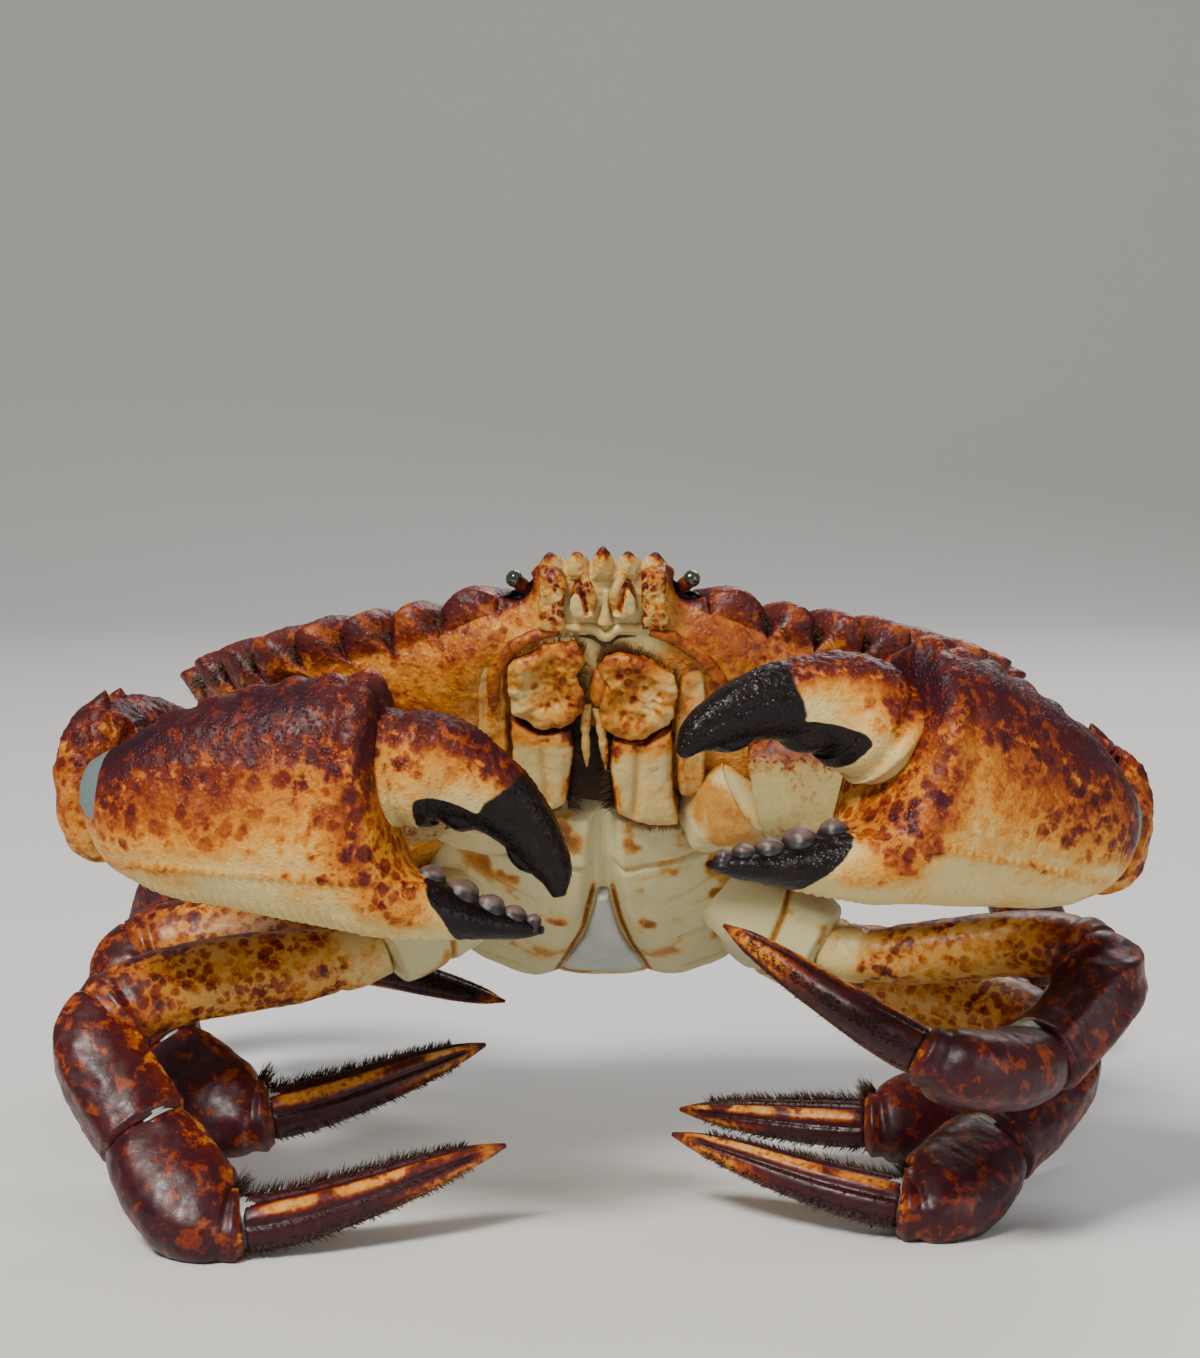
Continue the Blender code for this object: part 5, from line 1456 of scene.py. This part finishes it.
def make_feelers(face, word, side):
    """The antenna's base, the antennule's well and the folded antennule in it."""
    grid = plate_grid(ANTENNA_OUTLINE, ANTENNA_DEPTHS, face, ANTENNA_CROWN, side)
    points = grid.points()
    relief = 0.25 * rough(points, 1.8, 91) + 0.12 * grains(points, 0.9, 93)
    tone = 0.12 + 0.22 * smoothstep(1.5, -1.5, grid.local["m"])
    add_grid(f"antenna_{word}_skin", grid, FACE, "mouth", [f"antenna_{word}"], relief,
             body_to_world(points), tone=tone)

    grid = plate_grid(ANTENNULE_OUTLINE, ANTENNULE_DEPTHS, face, ANTENNULE_CROWN, side)
    points = grid.points()
    x, m, inset = grid.read("x", "m", "inset")
    aside = np.abs(np.abs(x) - 2.25 + 0.22 * (m - 0.2))
    end = smoothstep(4.8, 4.2, m)
    trench = smoothstep(1.5, 1.0, aside) * end
    rim = smoothstep(0.84, 0.96, inset)
    relief = 0.12 * rough(points, 2.0, 91) - 1.3 * trench * smoothstep(1.0, 0.85, inset) - 0.3 * rim
    shade = ridge(aside - 1.05, 0.32) * end
    # rim: painted shade at the well's edge; shade: painted shade beside the trench.
    tone = 0.02 + 0.42 * shade + 0.30 * rim + 0.10 * smoothstep(2.0, 0.5, m)
    add_grid(f"antennule_{word}_skin", grid, FACE, "belly", [f"antennule_{word}"], relief,
             body_to_world(points), tone=tone)
    line = [(side * x, m, 0.7) for x, m in ((3.4, -2.0), (2.25, 0.2), (1.55, 3.6))]
    add_rod(f"antennule_{word}_rod", face, line, ANTENNULE_ROWS, FACE, 0.10, slot="belly")


def make_mouth():
    mouth = plane_frame(MOUTH_TOP, MOUTH_LOW)
    face = plane_frame(FACE_TOP, FACE_LOW)
    for word, side in SIDES:
        make_jaws(mouth, word, side)
        make_feelers(face, word, side)

    # The lining is a dark sheet behind the jaw plates: painted shade of the mouth's hollow, seen through the
    # gaps between the plates.
    half_lining = [(13.5, -0.5), (15, 8), (14, 22), (9, 30)]
    lining = [(-13.5, -0.5), (0, -1.4), *half_lining, *((-x, m) for x, m in half_lining[:0:-1])]
    grid = plate_grid(lining, (-4.2, -2.6), mouth, 0.2, 1, (JAW_SHIFT, 0.0))
    points = grid.points()
    add_grid("mouth_shade_sheet", grid, GAP_SHADE, "mouth", (), 0.3 * rough(points, 2.0, 94), body_to_world(points))

    for name, depth, line, rows, tone in MOUTH_RODS:
        # The brow's slit and the sheet behind the jaws take the dark gap colour as painted shade.
        material = {"brow_slit": GAP_SHADE, "mouth_frame_right": MOUTH, "mouth_frame_left": MOUTH}.get(name, FACE)
        plane = face if "brow" in name else mouth
        rings = 60 if name == "brow_pillar" else 120
        add_rod(name, plane, [(x, m, depth) for x, m in line], rows, material, tone, rings)
    for name, line, rows, material, tone in (
        ("palp_right", [(-2.5, 9.5, 0.6), (-2.7, 13.5, 1.4), (-2.5, 20.2, 1.2)], PALP_ROWS, FACE, 0.10),
        ("palp_left", [(-0.9, 10.2, 0.6), (-0.2, 14.2, 1.4), (0.5, 20.8, 1.2)], PALP_ROWS, FACE, 0.10),
        ("palp_knob", [(-0.9, 3.6, 0.4), (-0.4, 6.4, 1.2), (-0.9, 9.6, 0.6)], KNOB_ROWS, MOUTH, 0.34),
    ):
        add_rod(name, mouth, line, rows, material, tone)
    mouth_hairs(mouth)


def mouth_hairs(mouth):
    """Golden fringes along the jaws' upper edges and dark ones lining the gap between them."""
    rng = np.random.default_rng(7)
    down, out = (body_to_world([(0.0, *mouth[k])])[0] for k in (1, 2))

    def root(x, m, depth):
        return body_to_world([on_plane(mouth, x, m, depth)])[0]

    fringe = []
    for word, side in SIDES:
        shift = (JAW_SHIFT, JAW_DROP[word])
        line = smooth_outline(JAW_PLATES["jaw_upper"], 400) * (side, 1) + shift
        line = line[line[:, 1] < 4.2 + shift[1]]
        for x, m in line[rng.integers(0, len(line), 420)]:
            place = root(x, m, 1.2) + rng.normal(0, 0.15, 3)
            fringe.append((place, -down + 0.35 * out + rng.normal(0, 0.22, 3), rng.uniform(1.0, 2.2)))
        floor = np.column_stack([rng.uniform(0.8, 3.2, 260) * side + shift[0], rng.uniform(2.0, 9.0, 260)])
        for x, m in floor:
            way = out + 0.4 * down + rng.normal(0, 0.45, 3)
            fringe.append((root(x, m, 0.6), way, rng.uniform(0.8, 1.8)))
        hem = smooth_outline(JAW_PLATES["jaw_lower"], 400) * (side, 1) + shift
        hem = hem[hem[:, 1] > 27.6 + shift[1]]
        for x, m in hem[rng.integers(0, len(hem), 260)]:
            place = root(x, m, 1.2) + rng.normal(0, 0.15, 3)
            fringe.append((place, down + 0.1 * out + rng.normal(0, 0.18, 3), rng.uniform(0.8, 1.9)))
    bristles("mouth_fringe", fringe, 0.07, GOLD_BRISTLE)
    gap = []
    for _, side in SIDES:
        for m in rng.uniform(9.0, 27.5, 700):
            x = (2.9 + 0.05 * (m - 10)) * side + JAW_SHIFT
            place = root(x, m, rng.uniform(-0.5, 1.6))
            way = np.array([-side, 0.0, 0.0]) + 0.5 * down + rng.normal(0, 0.2, 3)
            gap.append((place, way, rng.uniform(1.4, 3.2)))
    bristles("mouth_gap_hairs", gap, 0.07, BRISTLE)


def make_eyes():
    stalk_rows = [(0, 0.9, 0.9), (0.4, 1.15, 1.15), (0.75, 1.1, 1.1), (1, 1.0, 1.0)]
    ball_rows = [(0, 0.3, 0.3), (0.15, 1.0, 1.0), (0.45, 1.32, 1.32), (0.75, 1.12, 1.12),
                 (0.93, 0.62, 0.62), (1, 0.15, 0.15)]
    for word, side in SIDES:
        place = np.array(EYE_PLACE) * (side, 1, 1)
        way = unit(np.array(EYE_WAY) * (side, 1, 1))
        root, neck, tip = body_to_world([place + way * EYE_LENGTH * k for k in (-0.6, 0.15, 0.40)])
        direction = unit(neck - root)
        stalk = limb_grid([root, neck], direction, direction, (0, 0, 1), stalk_rows, 1.0, 30, 36, 2.0)
        add_grid(f"eye_{word}_stalk", stalk, MOUTH, "mouth", tone=0.66)
        low = neck - direction * 1.2
        ball = limb_grid([low, tip], direction, direction, (0, 0, 1), ball_rows, 1.0, 44, 48, 2.0)
        add_grid(f"eye_{word}_ball", ball, CORNEA, "eye", [f"eye_{word}"])


make_shell()
for word, _ in SIDES:
    make_hand(word)
    make_finger(word)
    make_wrist(word)
    make_arm(word)
for number, leg in enumerate(LEG_JOINTS):
    make_leg(leg, 101 + 7 * number)
make_breast()
make_hips()
make_flap("tail_tip_skin", "tail_tip", TAIL_FLAP_ROWS, (), 95)
make_flap("tail_skin", "tail", TAIL_ROWS, (0.3, 0.55, 0.8), 97)
make_mouth()
make_eyes()


# Floor, light and camera.
def make_floor():
    """A pale seamless sweep of paper."""
    paper = bpy.data.materials.new("paper")
    paper.use_nodes = True
    shader = paper.node_tree.nodes["Principled BSDF"]
    shader.inputs["Base Color"].default_value = (0.66, 0.66, 0.65, 1.0)
    shader.inputs["Roughness"].default_value = 0.85
    reach, back, bend = 3.0, 1.1, 0.9
    turns = np.linspace(0, 0.5 * math.pi, 40)
    line = [(-reach, 0.0)] + [(back + bend * math.sin(t), bend * (1 - math.cos(t))) for t in turns]
    line.append((back + bend, reach))
    points = [(x, y, z) for y, z in line for x in (-reach, reach)]
    faces = [(2 * k, 2 * k + 1, 2 * k + 3, 2 * k + 2) for k in range(len(line) - 1)]
    mesh = bpy.data.meshes.new("sweep")
    mesh.from_pydata(points, [], faces)
    mesh.shade_smooth()
    mesh.materials.append(paper)
    sweep = bpy.data.objects.new("sweep", mesh)
    bpy.context.scene.collection.objects.link(sweep)


def make_lights():
    """A large soft key light, weak light from the other side and behind, and a dim grey world."""
    world = bpy.data.worlds.new("studio")
    world.use_nodes = True
    background = world.node_tree.nodes["Background"]
    background.inputs["Color"].default_value = (0.88, 0.87, 0.86, 1.0)
    background.inputs["Strength"].default_value = 0.32
    bpy.context.scene.world = world

    target = np.array([0.0, -0.02, 0.07])
    for name, place, size, power, colour in (
        ("key", (-0.40, -0.70, 0.95), 0.30, 20.0, (1.0, 0.95, 0.88)),
        ("fill", (0.8, -0.7, 0.35), 0.7, 3.5, (0.92, 0.96, 1.0)),
        ("back", (0.3, 0.8, 0.8), 0.6, 6.0, (1.0, 1.0, 1.0)),
    ):
        light = bpy.data.lights.new(name, "AREA")
        light.size = size
        light.energy = power
        light.color = colour
        obj = bpy.data.objects.new(name, light)
        bpy.context.scene.collection.objects.link(obj)
        obj.location = place
        aim = target - np.array(place)
        tilt = math.atan2(math.hypot(aim[0], aim[1]), -aim[2])
        obj.rotation_euler = (tilt, 0.0, math.atan2(aim[1], aim[0]) - math.pi / 2)


def make_camera():
    """The photograph's view: 450 mm away and six degrees above level."""
    focus_px, long_px = 2742.0, 1358.0
    away = 0.450
    data = bpy.data.cameras.new("camera")
    data.sensor_width = 36.0
    data.lens = focus_px / long_px * data.sensor_width
    data.shift_x = -3.0 / long_px
    data.shift_y = 6.0 / long_px
    data.clip_start = 0.01
    camera = bpy.data.objects.new("camera", data)
    bpy.context.scene.collection.objects.link(camera)
    x, y, z = ORIGIN_SHIFT * MM
    camera.location = (x, y - away * math.cos(CAMERA_DIP), z + away * math.sin(CAMERA_DIP))
    camera.rotation_euler = (math.pi / 2 - CAMERA_DIP, 0.0, 0.0)
    bpy.context.scene.camera = camera


make_floor()
make_lights()
make_camera()
